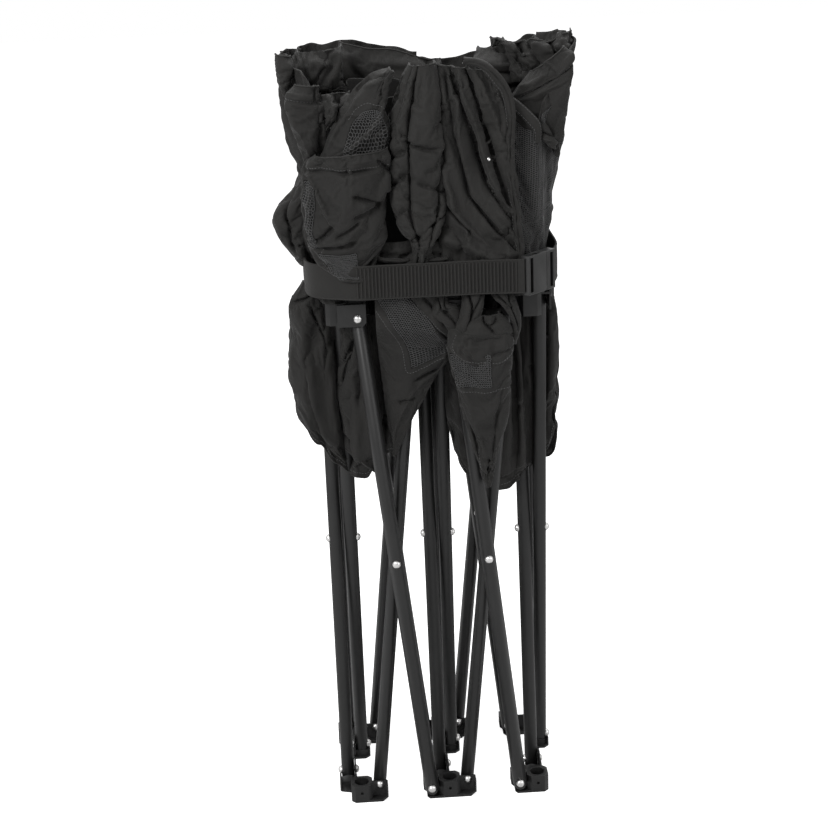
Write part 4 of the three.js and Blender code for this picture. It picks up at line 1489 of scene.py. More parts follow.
    def patch_mesh(self, surface: ClothSurface, patch: NetPatch, lift: float) -> bpy.types.Mesh:
        """The base grid of a net patch, with cells of one size.

        Args:
            surface: The cloth under it.
            patch: The patch.
            lift: How far off the cloth it lies, in millimetres.

        Returns:
            The mesh, in metres.
        """
        length, height = surface.lengths()
        wide, tall = (patch.along[1] - patch.along[0]) * length, (patch.down[1] - patch.down[0]) * height
        if patch.corners:
            spots = np.array(patch.corners) * [length, height]
            wide = (np.linalg.norm(spots[1] - spots[0]) + np.linalg.norm(spots[2] - spots[3])) / 2
            tall = (np.linalg.norm(spots[3] - spots[0]) + np.linalg.norm(spots[2] - spots[1])) / 2
        columns, rows = max(3, round(wide / patch.cell)), max(3, round(tall / patch.cell))
        a, b = np.meshgrid(np.linspace(0, 1, columns + 1), np.linspace(0, 1, rows + 1))
        if patch.oval:
            x, y = 2 * a - 1, 2 * b - 1
            a = 0.5 + 0.5 * x * np.sqrt(1 - y**2 / 2)
            b = 0.5 + 0.5 * y * np.sqrt(1 - x**2 / 2)
        s = patch.along[0] + (patch.along[1] - patch.along[0]) * a
        t = patch.down[0] + (patch.down[1] - patch.down[0]) * b
        if patch.corners:
            (s0, t0), (s1, t1), (s2, t2), (s3, t3) = patch.corners
            s = (s0 * (1 - a) + s1 * a) * (1 - b) + (s3 * (1 - a) + s2 * a) * b
            t = (t0 * (1 - a) + t1 * a) * (1 - b) + (t3 * (1 - a) + t2 * a) * b
        points = surface.sample(s, t, lift)
        return mesh_from(points.reshape(-1, 3) * MM, grid_faces(columns, rows), "patch")

    def finish(self, piece: Tailored) -> None:
        """Thickens, sews and mounts a piece, and hides its CAD nodes."""
        surface = piece.surface
        surface.refine()
        surface.press()
        thing = make_object(piece.name, surface.mesh(piece.name), piece.material)
        wall(thing, piece.thickness)
        thing.data.shade_smooth()
        length, height = surface.lengths()
        extras = self.sew(piece)
        for each in [thing, *extras]:
            self.mount(each, piece)
        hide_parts(*piece.nodes)
        if piece.padded:
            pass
        else:
            sides, area = surface.cut_size()
        LOG.info("%s: %d faces, %.0f by %.0f mm", piece.name, len(thing.data.polygons), length, height)

    def deliver(self) -> None:
        """Settles and finishes every piece."""
        self.settle()
        for piece in self.pieces:
            self.finish(piece)


@dataclass
class ClothGroup:
    """Cloth cut from the same sizes and finishes, in millimetres."""

    sizes: ScissorGeometry
    palette: Palette

    def panel(
        self,
        name: str,
        body: str,
        left: Sequence[Pair],
        right: Sequence[Pair],
        front: float,
        crown: float,
        wrap: float = 0.0,
        roundness: float = 0.5,
        lean: Sequence[float] = (0, 0),
        cell: float = 3.2,
        scallop: Sequence[float] = (),
        creases: Iterable[Sequence[float]] = (),
        ruffles: Iterable[Sequence[float]] = (),
        nodes: tuple[str, ...] = (),
        material: bpy.types.Material | None = None,
        **tailoring: object,
    ) -> Tailored:
        """A cloth seen face on from the front, folded and ready to settle.

        Args:
            name: The piece's name, without its ending.
            body: The body that it rides on.
            left: Its left edge, as ClothSurface.panel takes it, and so on to its cell.
            right: Its right edge.
            front: The Y of its edges.
            crown: How far its middle comes forward.
            wrap: How far its outer columns turn back.
            roundness: The power that shapes the crown.
            lean: Moves along Y, from the top down.
            cell: The grid's step.
            scallop: The height, size and seed of its top edge's waves.
            creases: Its creases, as rows.
            ruffles: Its layers of small folds, as rows.
            nodes: The CAD nodes that it stands for.
            material: Its finish, or None for the plain cloth.
            tailoring: What else Tailored takes.

        Returns:
            The piece.
        """
        surface = ClothSurface.panel(left, right, front, crown, wrap, roundness, lean, cell)
        if scallop:
            surface.scallop(*scallop)
        surface.fold(creases)
        surface.ruffle(*ruffles)
        return Tailored(f"{name}_cloth", surface, nodes, body, material or self.palette.cloth, **tailoring)


# Cloth above the strap


@dataclass
class UpperCloth(ClothGroup):
    """The back, the arms, the bundled middle and the cup pocket. Heights and widths are in millimetres."""

    low: float = 630.5
    height: float = 275.0
    wrap: float = 12.5
    cloth_line: float = 155.3
    back_fold: float = 26.0
    arm_fold: float = 34.0
    bundle_reach: float = 90.0
    bundle_front: float = 39.0
    left_bulge: tuple[float, ...] = (0.85, 0.83, 0.8, 0.76, 0.72, 0.68, 0.62, 0.56, 0.48, 0.4, 0.36, 0.42,
                                     0.6, 0.85, 1.15, 1.2, 0.75, 0.12, 0.08, 0.1, 0.15)
    right_bulge: tuple[float, ...] = (1.1, 0.95, 0.85, 0.68, 0.5, 0.36, 0.22, 0.2, 0.12, 0.08, 0.15)

    def heights(self, shares: Sequence[float]) -> list[float]:
        """Heights above the upper fittings, given as shares of the cloth's height."""
        return [self.low + self.height * share for share in shares]

    def squash_back(self) -> tuple[str, Triple, Triple, float]:
        """The squash of the middle of the bundle on to the back, as data; nothing flattens the cloth by it."""
        return ("fold", (0.0, 1.0, 0.0), (0.0, self.cloth_line, 0.0), 0.06)

    def back(self, hand: Hand) -> Tailored:
        """Half of the back, round its corner post to the middle."""
        z = self.sizes
        out = z.rear_corner + self.wrap
        diagonal = math.sqrt(0.5) * self.wrap
        path = [
            (out, z.depth - self.wrap), (out, z.depth), (z.rear_corner + diagonal, z.depth + diagonal),
            (z.rear_corner, self.cloth_line), (z.rear_corner * 2 / 3, self.cloth_line),
            (z.rear_corner / 3, self.cloth_line), (0.5, self.cloth_line),
        ]
        top = self.heights((0.95, 0.975, 0.95, 0.96, 0.92, 0.88, 0.875, 0.88))
        folds = [0, 0.6, 0.9, 0.6, 0.1, 0.7, 1, 0.5, 0, 0.6, 0.9, 0.5, 0]
        if hand is Hand.LEFT:
            top = self.heights((0.93, 0.955, 0.945, 0.94, 0.955, 0.955, 0.93, 0.91))
        path = [(hand.value * x, y) for x, y in path]
        if hand is Hand.LEFT:
            path, top, folds = path[::-1], top[::-1], folds[::-1]
        bulge = self.right_bulge if hand is Hand.RIGHT else self.left_bulge
        surface = ClothSurface.hanging(path, top, [self.low] * 2, folds, bulge, self.back_fold)
        surface.scallop(6, 28, 3 + hand.value)
        surface.fold([
            (0.2, 0.05, 0.3, 0.7, 4, 7), (0.55, 0, 0.45, 0.8, -5, 8),
            (0.75, 0.1, 0.8, 0.75, 5, 8), (0.1, 0.5, 0.4, 0.62, -3, 6),
            (0.5, 0.35, 0.9, 0.5, 3, 6),
        ])
        surface.ruffle((3.2, 46, 70, 11 + hand.value), (1.6, 19, 34, 23 + hand.value, 0.5))
        word = hand.word
        reach = hand.value * z.rear_corner * MM
        return Tailored(
            f"back_{word}_cloth", surface, (f"back_{word}",), "foot_rear_centre", self.palette.cloth,
            blend=("foot_rear_centre", f"back_{word}", (0, self.cloth_line * MM, 0.7),
                   (reach, self.cloth_line * MM, 0.7)),
            hems=[across(0, 0.004), [(0.02, 0.85), (0.5, 0.86), (0.98, 0.85)]],
            seams=[across(0, 0.05)])

    def lower_back(self, hand: Hand) -> Tailored:
        """The inner layer of the back, before the posts."""
        z = self.sizes
        line = z.depth - z.post / 2 - z.gap
        path = [(0.5, line), (z.rear_corner / 2, line), (z.rear_corner, line)]
        path = [(hand.value * x, y) for x, y in path]
        top = [self.low + 200, self.low + 208, self.low + 196]
        folds = [0, 1, 0.1, 1, 0]
        if hand is Hand.LEFT:
            path, top = path[::-1], top[::-1]
        surface = ClothSurface.hanging(path, top, [self.low] * 2, folds, (1, 1), 10.0, cell=6.0)
        surface.ruffle((2.0, 30, 60, 31 + hand.value))
        word = hand.word
        y = line * MM
        return Tailored(
            f"lower_back_{word}_cloth", surface, (f"lower_back_{word}",), "hub_rear_centre",
            self.palette.cloth, growth=0.0,
            blend=("hub_rear_centre", f"lower_back_{word}", (0, y, 0.7),
                   (hand.value * z.rear_corner * MM, y, 0.7)),
            hems=[across(0, 0.004)])

    def arm_path(self) -> list[Pair]:
        """The way round the arm post and along the side, on the right."""
        z = self.sizes
        diagonal = math.sqrt(0.5) * self.wrap
        return [
            (z.front_corner, -self.wrap), (z.front_corner + diagonal, -diagonal),
            (z.front_corner + self.wrap, 0),
            (z.column + self.wrap, z.depth * 0.3), (z.column + self.wrap, z.depth * 0.6),
            (z.rear_corner + self.wrap, z.depth - self.wrap - 1),
        ]

    def arm_blend(self, hand: Hand) -> tuple[str, str, Triple, Triple]:
        """The blend of an arm's cloth across the rows, as data; nothing stretches the cloth by it."""
        x = hand.value * self.sizes.column * MM
        return (f"hub_front_{hand.word}", f"arm_{hand.word}", (x, 0.0, 0.7), (x, self.sizes.depth * MM, 0.7))

    def right_arm(self) -> Tailored:
        """The right arm's cloth, with its net in front and its tall corner."""
        z = self.sizes
        path = [(z.front_corner - z.reach, -self.wrap), *self.arm_path()]
        top = self.heights((0.78, 0.72, 0.7, 0.8, 0.95, 1.0, 1.0, 0.98))
        folds = [0, 0.05, 0.1, 0.1, 0.1, 0.2, 0.3, 0.8, 1, 0.6, 0.9, 0.5, 0]
        surface = ClothSurface.hanging(path, top, [self.low] * 2, folds, self.right_bulge, self.arm_fold,
                                       cell=3.6)
        surface.fold([
            (0.22, 0, 0.5, 0.42, 5, 6), (0.5, 0.42, 0.62, 0.05, -4, 6),
            (0.3, 0.6, 0.7, 0.7, 3, 7), (0.8, 0.1, 0.75, 0.8, 5, 8), (0.62, 0.05, 0.58, 0.9, -7, 4),
            (0.74, 0, 0.68, 0.6, -6, 4), (0.9, 0.05, 0.84, 0.95, -8, 4), (0.66, 0.5, 0.9, 0.75, -5, 4),
        ])
        surface.ruffle((2.6, 40, 60, 41), (1.4, 17, 30, 43, -0.5))
        return Tailored(
            "arm_right_cloth", surface, ("arm_right",), "hub_front_right", self.palette.cloth,
            blend=self.arm_blend(Hand.RIGHT), growth=0.04,
            hems=[across(0, 0.004), upright(0.004, 0, 1)],
            nets=[NetPatch((0.02, 0.56), (0.06, 0.97))])

    def left_arm(self) -> Tailored:
        """The left arm's cloth round the side."""
        path = [(-x, y) for x, y in self.arm_path()][::-1]
        top = self.heights((0.94, 0.96, 0.955, 0.945, 0.93, 0.88, 0.82, 0.8))
        folds = [0, 0.5, 0.9, 0.7, 1, 0.9, 0.5, 0.3, 0.15, 0.1, 0.1, 0.05, 0]
        surface = ClothSurface.hanging(path, top, [self.low] * 2, folds, self.left_bulge, self.arm_fold,
                                       cell=3.6)
        surface.scallop(7, 24, 5)
        surface.fold([
            (0.35, 0, 0.55, 0.5, -6, 6), (0.6, 0, 0.5, 0.45, 6, 7),
            (0.75, 0.1, 0.6, 0.6, -5, 6), (0.2, 0.3, 0.45, 0.36, 4, 5),
        ])
        surface.ruffle((2.8, 36, 52, 51), (1.5, 16, 28, 53, 0.6))
        return Tailored(
            "arm_left_cloth", surface, ("arm_left",), "hub_front_left", self.palette.cloth,
            blend=self.arm_blend(Hand.LEFT), growth=0.05,
            hems=[across(0, 0.004)],
            seams=[[(0.7, 0.03), (0.68, 0.95)]])

    def left_side(self) -> list[Tailored]:
        """The flap, the front panel and the rolls at the left."""
        return [
            # The flap above the cup pocket, which widens downwards, with its oval net.
            self.panel(
                "left_flap", "hub_front_left", [(-38, 887), (-58, 882), (-77, 867), (-88, 852), (-98, 836),
                (-110, 810), (-119, 788)], [(-35, 884), (-43, 876), (-47, 862), (-47, 846), (-44, 828),
                (-47, 802), (-52, 784)], -28, 12, wrap=7, roundness=0.45, lean=(6, 2, 0, 0, 0), cell=2.6,
                creases=[(0.75, 0.05, 0.86, 0.4, 4, 3), (0.2, 0.22, 0.7, 0.12, 3, 5),
                (0.62, 0.12, 0.7, 0.3, -3, 3), (0.1, 0.9, 0.25, 0.3, 3, 4), (0.86, 0.4, 0.92, 0.95, 3, 4)],
                ruffles=[(2, 26, 34, 61), (0.9, 10, 14, 63)], growth=0.035, hems=[across(0, 0.006),
                upright(0.994, 0, 1)], seams=[[(0.2, 0.62), (0.24, 0.5), (0.42, 0.42),
                (0.7, 0.43), (0.88, 0.52), (0.93, 0.66), (0.9, 0.85)]],
                nets=[NetPatch((0.27, 0.9), (0.47, 0.97), cell=3.5, oval=True)]),
            # The left arm's front panel, which hangs from a folded rim and narrows downwards.
            self.panel(
                "left_front_panel", "hub_front_left", [(-139, 873), (-151, 859), (-147, 838), (-141, 815),
                (-134, 790)], [(-115, 871), (-116, 853), (-117, 835), (-118, 812), (-117, 790)], -19, 7,
                wrap=6, roundness=0.5, lean=(4, 0, 0, 0, 4), cell=2.2, creases=[(0, 0.22, 1, 0.22, -2.6, 1.8),
                (0, 0.14, 1, 0.13, 2.6, 5), (0.75, 0, 0.8, 0.2, -3, 3), (0.25, 0.4, 0.5, 0.95, 2, 6)],
                ruffles=[(1.6, 18, 26, 65)], growth=0.03, hems=[across(0.05, 0.006)], seams=[[(0.06, 0.24),
                (0.5, 0.245), (0.94, 0.24)]]),
            # The full roll of the back at the left corner, over the arm's front panel.
            self.panel(
                "left_puff", "hub_front_left", [(-137, 897), (-141, 887), (-142, 876), (-140, 866),
                (-132, 860)], [(-88, 901), (-88, 886), (-89, 870), (-88, 858), (-82, 850)], 62, 28, wrap=16,
                roundness=0.42, lean=(16, 2, 0, 2, 20), cell=2.6, creases=[(0.12, 0, 0.2, 0.5, -5, 3),
                (0.3, 0.1, 0.62, 0.3, 3, 6), (0.35, 0.95, 0.42, 0.7, -5, 3), (0.66, 0.02, 0.8, 0.4, 4, 5),
                (0.2, 0.62, 0.8, 0.75, -3, 5)], ruffles=[(2.4, 22, 22, 67), (1.2, 10, 10, 69)], growth=0.07,
                pressure=1.4, padded=True, thickness=2.0, blend=self.arm_blend(Hand.LEFT)),
            # The turned corner of the left arm, beside the roll.
            self.panel(
                "left_corner", "hub_front_left", [(-159, 902), (-159, 888), (-157, 872), (-153, 858)],
                [(-144, 899), (-141, 886), (-145, 872), (-150, 857)], 16, 9, wrap=5, roundness=0.4,
                lean=(6, 0, 0, 4), cell=2.2, ruffles=[(1.4, 12, 16, 75)], growth=0.04,
                hems=[across(0.04, 0.01)], blend=self.arm_blend(Hand.LEFT)),
            # The roll of the left arm's cloth that bulges out over the strap.
            self.panel(
                "left_bulge", "hub_front_left", [(-136, 762), (-150, 749), (-166, 735), (-172, 719),
                (-165, 701), (-153, 683), (-144, 668)], [(-128, 760), (-131, 746), (-134, 730), (-136, 714),
                (-137, 698), (-134, 682), (-130, 668)], 26, 20, wrap=8, roundness=0.45, lean=(6, 0, 0, 0, 4),
                cell=2.2, creases=[(0.15, 0.1, 0.5, 0.5, -5, 2.6), (0.5, 0.5, 0.4, 0.85, -5, 2.6),
                (0.65, 0.2, 0.7, 0.8, 4, 4), (0.55, 0.72, 0.85, 0.7, -5, 2.4)], ruffles=[(2.2, 20, 22, 85)],
                growth=0.05, pressure=1.0, padded=True, thickness=2.0, blend=self.arm_blend(Hand.LEFT)),
            # The small crumples between the front panel and the flap.
            self.panel(
                "left_crumples", "hub_front_left", [(-118, 858), (-120, 846), (-119, 834), (-116, 820)],
                [(-82, 862), (-86, 852), (-93, 842), (-103, 826)], -15, 8, wrap=5, roundness=0.5,
                lean=(14, 0, 0, 6), cell=1.9, creases=[(0.1, 0.5, 0.5, 0.1, 5, 3),
                (0.3, 0.3, 0.35, 0.9, -6, 2.4), (0.5, 0.15, 0.6, 0.7, 5, 3), (0.62, 0.1, 0.75, 0.7, -6, 2.4),
                (0.8, 0.1, 0.88, 0.6, 4, 3), (0, 0.1, 0.7, 0.02, 5, 4)], ruffles=[(4.4, 9, 16, 77)],
                growth=0.05),
        ]

    def middle(self) -> list[Tailored]:
        """The smooth top, the cup pocket, the padded band and the pleats."""
        return [
            # The smooth turned top of the back, left of the middle.
            self.panel(
                "smooth_top", "foot_rear_centre", [(-88, 900), (-89, 884), (-90, 866), (-90, 846)],
                [(24, 878), (24, 868), (24, 858), (22, 844)], 104, 12, wrap=10, roundness=0.3,
                lean=(10, 0, 0, 4), cell=3.2, scallop=(3, 38, 15), creases=[(0, 0, 0.04, 0.8, 3, 4),
                (0.8, 0, 0.78, 0.7, -4, 3), (0.87, 0, 0.9, 0.6, 3, 3)], ruffles=[(1.6, 50, 30, 79)],
                growth=0.02, squash=self.squash_back(), hems=[across(0.03, 0.008)]),
            # The cup pocket: a full front with a folded rim and net at its side and foot.
            self.panel(
                "cup_pocket", "hub_front_left", [(-122, 800), (-136, 786), (-139, 752), (-138, 716),
                (-126, 690), (-106, 664)], [(-46, 806), (-44, 781), (-48, 751), (-52, 721), (-58, 692),
                (-66, 661)], -30, 24, wrap=10, roundness=0.42, lean=(-5, -3, 0, 2, 6), cell=2.3,
                creases=[(0.02, 0.06, 0.98, 0.05, 3.6, 4), (0.04, 0.14, 0.72, 0.125, -4.5, 2.6),
                (0.74, 0.06, 0.9, 0.16, -5.5, 2.6), (0.9, 0.16, 0.95, 0.34, -6, 2.6),
                (0.84, 0.14, 0.86, 0.3, 5, 4), (0.5, 0.17, 0.8, 0.12, 3, 3), (0.83, 0.4, 0.55, 0.3, -6, 3),
                (0.83, 0.4, 0.56, 0.47, -5.5, 3), (0.8, 0.36, 0.62, 0.37, 4.5, 3),
                (0.2, 0.17, 0.3, 0.36, 5, 3.5), (0.3, 0.36, 0.4, 0.52, 3.5, 4),
                (0.4, 0.52, 0.28, 0.62, -5, 3), (0.28, 0.62, 0.06, 0.68, -4.5, 3),
                (0.62, 0.5, 0.42, 0.6, -4.5, 3), (0.2, 0.7, 0.58, 0.65, -5, 2.6),
                (0.22, 0.66, 0.55, 0.61, 4, 3.4), (0.62, 0.94, 0.88, 0.78, -5, 3),
                (0.6, 0.7, 0.95, 0.66, 4, 5), (0.1, 0.2, 0.06, 0.66, -4, 2.4),
                (0.17, 0.24, 0.2, 0.66, 3, 2.4)], ruffles=[(2, 30, 30, 71), (1, 13, 14, 73)],
                nodes=("cup_pocket",), growth=0.05, pressure=1.0, hems=[across(0.05, 0.005), [(0.1, 0.985),
                (0.5, 0.99), (0.9, 0.985)]], seams=[[(0.05, 0.15), (0.5, 0.145), (0.95, 0.14)], [(0.24, 0.7),
                (0.16, 0.8), (0.16, 0.96)]], nets=[NetPatch((0.07, 0.18), (0.28, 0.7)),
                NetPatch((0.17, 0.6), (0.73, 0.985))]),
            # The padded band down the middle of the bundle.
            self.panel(
                "centre_band", "foot_rear_centre", [(-17, 890), (-31, 864), (-42, 832), (-43, 794),
                (-42, 758), (-37, 728), (-24, 706), (-22, 688), (-38, 670), (-42, 655)], [(9, 892), (14, 864),
                (18, 830), (18, 792), (17, 754), (13, 727), (4, 708), (-5, 690), (4, 674), (8, 655)], -32, 16,
                wrap=14, roundness=0.35, lean=(12, 2, 0, 0, 0, 3, 8), cell=2.4,
                creases=[(0.4, 0, 0.42, 0.84, -5.5, 2), (0.2, 0.02, 0.1, 0.3, 3.4, 2.4),
                (0.28, 0, 0.22, 0.3, -4, 2.4), (0.83, 0.3, 0.62, 0.84, -4.4, 2.2),
                (0.88, 0.05, 0.8, 0.35, -5, 2.6), (0.38, 0.33, 0.72, 0.37, -4, 2.6),
                (0.08, 0.42, 0.36, 0.37, -5, 2.6), (0.08, 0.56, 0.37, 0.47, -6, 2.8),
                (0.5, 0.5, 0.86, 0.56, -4.5, 2.8), (0.12, 0.68, 0.38, 0.62, -4.5, 2.6),
                (0.42, 0.62, 0.8, 0.66, 3.4, 4), (0.62, 0.7, 0.92, 0.64, -4.5, 2.8),
                (0.16, 0.78, 0.5, 0.74, -5, 2.8), (0.26, 0.8, 0.56, 0.96, -7, 3),
                (0.8, 0.78, 0.52, 0.9, -6, 3), (0.5, 0.8, 0.54, 1, 5, 3)], ruffles=[(1.8, 22, 20, 81),
                (0.8, 10, 9, 83)], nodes=("back_centre_folds",), material=self.palette.padded, growth=0.05,
                pressure=1.5, squash=self.squash_back(), padded=True, thickness=2.2, seams=[[(0.38, 0.02),
                (0.39, 0.4), (0.41, 0.8)], [(0.8, 0.3), (0.74, 0.6), (0.62, 0.82)]],
                hems=[across(0.14, 0.004)]),
            # The pleats to the right of the band, fanning out towards the strap.
            self.panel(
                "pleats", "foot_rear_centre", [(10, 890), (9, 850), (13, 800), (12, 750), (10, 700),
                (8, 655)], [(70, 880), (82, 850), (88, 800), (92, 750), (96, 700), (100, 662)], -28, 13,
                wrap=9, roundness=0.3, lean=(10, 0, 0, 0, 4, 2), cell=2.6,
                creases=[(0.22, 0.02, 0.25, 0.3, -6, 3), (0.25, 0.3, 0.4, 0.58, -7, 3),
                (0.4, 0.58, 0.94, 0.92, -8, 3), (0.3, 0, 0.47, 0.28, -9, 3),
                (0.47, 0.28, 0.6, 0.52, -10, 3.2), (0.6, 0.52, 0.9, 0.8, -7, 3), (0.5, 0, 0.64, 0.26, -9, 3),
                (0.66, 0.26, 0.74, 0.42, -13, 4), (0.72, 0.42, 0.82, 0.66, -11, 4),
                (0.4, 0.02, 0.56, 0.3, 7, 4.5), (0.56, 0.3, 0.72, 0.6, 6, 4.5),
                (0.62, 0.02, 0.84, 0.42, 6, 4), (0.84, 0.42, 0.9, 0.72, 5, 4),
                (0.3, 0.12, 0.38, 0.45, 6, 8, False), (0.12, 0.45, 0.24, 0.66, 6, 4),
                (0.24, 0.66, 0.6, 0.84, 6, 5), (0.08, 0.62, 0.4, 0.76, -6, 2.6),
                (0.1, 0.8, 0.9, 0.9, 6, 8, False), (0.3, 0.97, 0.95, 0.95, -6, 3),
                (0.7, 0.66, 0.86, 0.86, 5, 3.4)], ruffles=[(2, 18, 60, 91)], material=self.palette.padded,
                growth=0.045, squash=self.squash_back(), padded=True, thickness=2.0, seams=[[(0.88, 0.03),
                (0.97, 0.9)]], studs=[(0.7, 0.435)], hems=[[(0.1, 0.004), (0.5, 0.004), (0.94, 0.01)],
                [(0.94, 0.01), (0.97, 0.4), (0.99, 0.98)]]),
            # The folded band down the right edge of the pleats.
            self.panel(
                "pleat_binding", "foot_rear_centre", [(38, 890), (54, 886), (67, 872), (78, 855), (82, 836),
                (82, 800), (83, 765), (87, 720), (92, 662)], [(40, 896), (60, 891), (75, 878), (86, 860),
                (91, 838), (91, 800), (92, 765), (96, 722), (101, 664)], -33, 7, wrap=3, roundness=0.4,
                lean=(4, 0, 0, 0, 4), cell=1.8, creases=[(0.5, 0.02, 0.5, 0.98, -1.6, 1.4)],
                ruffles=[(1.2, 9, 40, 95)], growth=0.03, squash=self.squash_back(),
                seams=[upright(0.2, 0.03, 0.97)]),
        ]

    def inner_runs(self) -> Tailored:
        """The runs of the middle that lie behind the band, from side to side, in a darker cloth that paints the shade
        of the hollow.
        """
        shares = [
            (-0.6, 0.5), (-0.1, 0.45), (0.3, 0.3), (0.7, 0.15), (0.84, 0.25), (0.7, 0.45),
            (0.3, 0.6), (-0.3, 0.7), (-0.85, 0.8), (-0.95, 1.0), (-0.6, 1.2), (0.2, 1.2),
            (0.85, 1.2), (0.95, 1.6), (0.6, 1.95), (-0.2, 2.0), (-0.9, 2.1),
        ]
        path = [(a * self.bundle_reach, b * self.bundle_front) for a, b in shares]
        top = self.heights((0.8, 0.86, 0.84, 0.82, 0.88, 0.84, 0.86, 0.82, 0.85))
        surface = ClothSurface.hanging(path, top, [self.low] * 2, stand=3.5, cell=5.5)
        surface.scallop(6, 30, 9)
        surface.ruffle((2.2, 30, 70, 101))
        # The darker inner cloth paints the shade of the hollow behind the band.
        return Tailored(
            "inner_runs_cloth", surface, (), "foot_rear_centre", self.palette.inner, growth=0.0,
            squash=self.squash_back(), held="folded", hems=[across(0, 0.004)])

    def right_side(self) -> list[Tailored]:
        """The roll and the turned corner at the right."""
        return [
            # The smooth left side of the roll at the right corner.
            self.panel(
                "roll_side", "hub_front_right", [(66, 892), (60, 879), (63, 862), (76, 845)], [(96, 897),
                (106, 880), (112, 862), (108, 844)], 62, 22, wrap=13, roundness=0.42, lean=(18, 4, 0, 6),
                cell=2.4, creases=[(0.1, 0.35, 0.75, 0.42, 5, 4), (0, 0.5, 0.7, 0.55, -4, 3),
                (0.75, 0.4, 0.85, 0.75, 4, 4), (0.5, 0.05, 0.95, 0.35, -4, 3)], ruffles=[(2, 26, 20, 111)],
                growth=0.05, pressure=1.0, padded=True, thickness=2.0, blend=self.arm_blend(Hand.RIGHT)),
            # The front of the roll at the right corner, with folds that gather at its top.
            self.panel(
                "roll_front", "hub_front_right", [(78, 897), (90, 896), (97, 882), (101, 868), (108, 850)],
                [(128, 900), (142, 889), (138, 876), (124, 862), (114, 849)], 50, 24, wrap=12, roundness=0.42,
                lean=(22, 6, 0, 2, 16), cell=2.2, scallop=(8, 13, 13), creases=[(0.3, 0, 0.12, 0.42, -6, 2.6),
                (0.42, 0, 0.3, 0.4, 5, 3), (0.52, 0, 0.46, 0.35, -6, 2.6), (0.62, 0, 0.7, 0.3, 5, 3),
                (0.18, 0, 0.02, 0.3, 4, 3), (0.3, 0.45, 0.6, 0.62, -3, 5), (0.75, 0.1, 0.95, 0.25, -5, 3),
                (0.2, 0.5, 0.3, 0.9, 4, 5)], ruffles=[(3.8, 14, 16, 113), (1.6, 7, 8, 115)], growth=0.08,
                pressure=1.4, padded=True, thickness=2.0, blend=self.arm_blend(Hand.RIGHT)),
            # The raised tip of the roll, behind the turned corner.
            self.panel(
                "roll_tip", "hub_front_right", [(118, 900), (122, 889), (126, 878), (130, 868)], [(164, 909),
                (165, 898), (162, 886), (152, 876)], 36, 13, wrap=8, roundness=0.45, lean=(12, 2, 0, 4),
                cell=2.2, scallop=(5, 11, 19), creases=[(0.45, 0, 0.5, 0.7, -5, 2.6),
                (0.6, 0, 0.72, 0.8, 4, 3), (0.8, 0, 0.82, 0.6, -5, 2.6), (0.2, 0.1, 0.6, 0.35, 4, 4)],
                ruffles=[(3.4, 12, 12, 117)], growth=0.06, hems=[across(0.04, 0.01)],
                blend=self.arm_blend(Hand.RIGHT)),
            # The right arm's turned corner: a folded rim over a panel that narrows downwards.
            self.panel(
                "corner_panel", "hub_front_right", [(116, 873), (104, 860), (92, 845), (101, 838), (119, 820),
                (134, 802), (139, 782)], [(150, 898), (160, 888), (158, 873), (155, 855), (151, 832),
                (147, 806), (143, 782)], -4, 9, wrap=6, roundness=0.4, lean=(12, 3, 0, 0, 0, 4), cell=2.4,
                creases=[(0, 0.3, 1, 0.2, -2.6, 1.8), (0, 0.16, 1, 0.1, 3, 6), (0.3, 0.9, 0.6, 0.5, 2.4, 5),
                (0.45, 0, 0.6, 0.16, 3, 4)], ruffles=[(1.6, 22, 30, 119)], growth=0.025,
                hems=[across(0.04, 0.006), [(0.01, 0.32), (0.006, 0.6), (0.01, 0.98)]], seams=[[(0.04, 0.32),
                (0.5, 0.27), (0.97, 0.22)]]),
            # The small tucked fold under the turned corner.
            self.panel(
                "tucked_fold", "hub_front_right", [(117, 822), (119, 812), (124, 804), (132, 795)],
                [(127, 820), (133, 810), (137, 800), (137, 792)], -13, 6, wrap=3, roundness=0.5, cell=1.6,
                creases=[(0.1, 0.3, 0.9, 0.5, -3, 2), (0.1, 0.6, 0.9, 0.75, 3, 2)], growth=0.03,
                hems=[across(0.04, 0.98)]),
            # The bound edge of the right net, from the pleats down to the corner.
            self.panel(
                "net_binding", "hub_front_right", [(81, 846), (95, 835), (110, 818), (114, 812), (114, 800)],
                [(87, 854), (100, 844), (117, 827), (121, 817), (121, 800)], -23, 4, wrap=2, roundness=0.4,
                lean=(0, 0, 2, 5), cell=1.5, growth=0.0, seams=[upright(0.25, 0.03, 0.97),
                upright(0.8, 0.03, 0.97)]),
        ]

    def band_foot(self, place: int) -> Tailored:
        """The flattened folds at one side of the band's neck."""
        edges = (
            ([(-60, 700), (-66, 686), (-68, 672), (-66, 657)],
             [(-24, 700), (-19, 686), (-14, 672), (-12, 657)], -26),
            ([(-14, 696), (-20, 682), (-24, 670), (-22, 657)],
             [(12, 700), (20, 686), (25, 672), (26, 657)], -28),
        )
        left, right, front = edges[place]
        return self.panel(
            f"band_foot_{place}", "foot_rear_centre", left, right, front, 9, wrap=5, roundness=0.45,
            lean=(8, 2, 0, 4), cell=1.8,
            creases=[(0.05, 0.2, 0.95, 0.34, -8, 2.6), (0.1, 0.48, 0.9, 0.56, -9, 2.8),
                     (0.05, 0.8, 0.85, 0.72, -8, 2.6), (0.1, 0.34, 0.8, 0.44, 6, 3),
                     (0.2, 0.64, 0.9, 0.63, 6, 3)],
            ruffles=[(1.6, 30, 8, 201 + 2 * place)], growth=0.04, squash=self.squash_back())

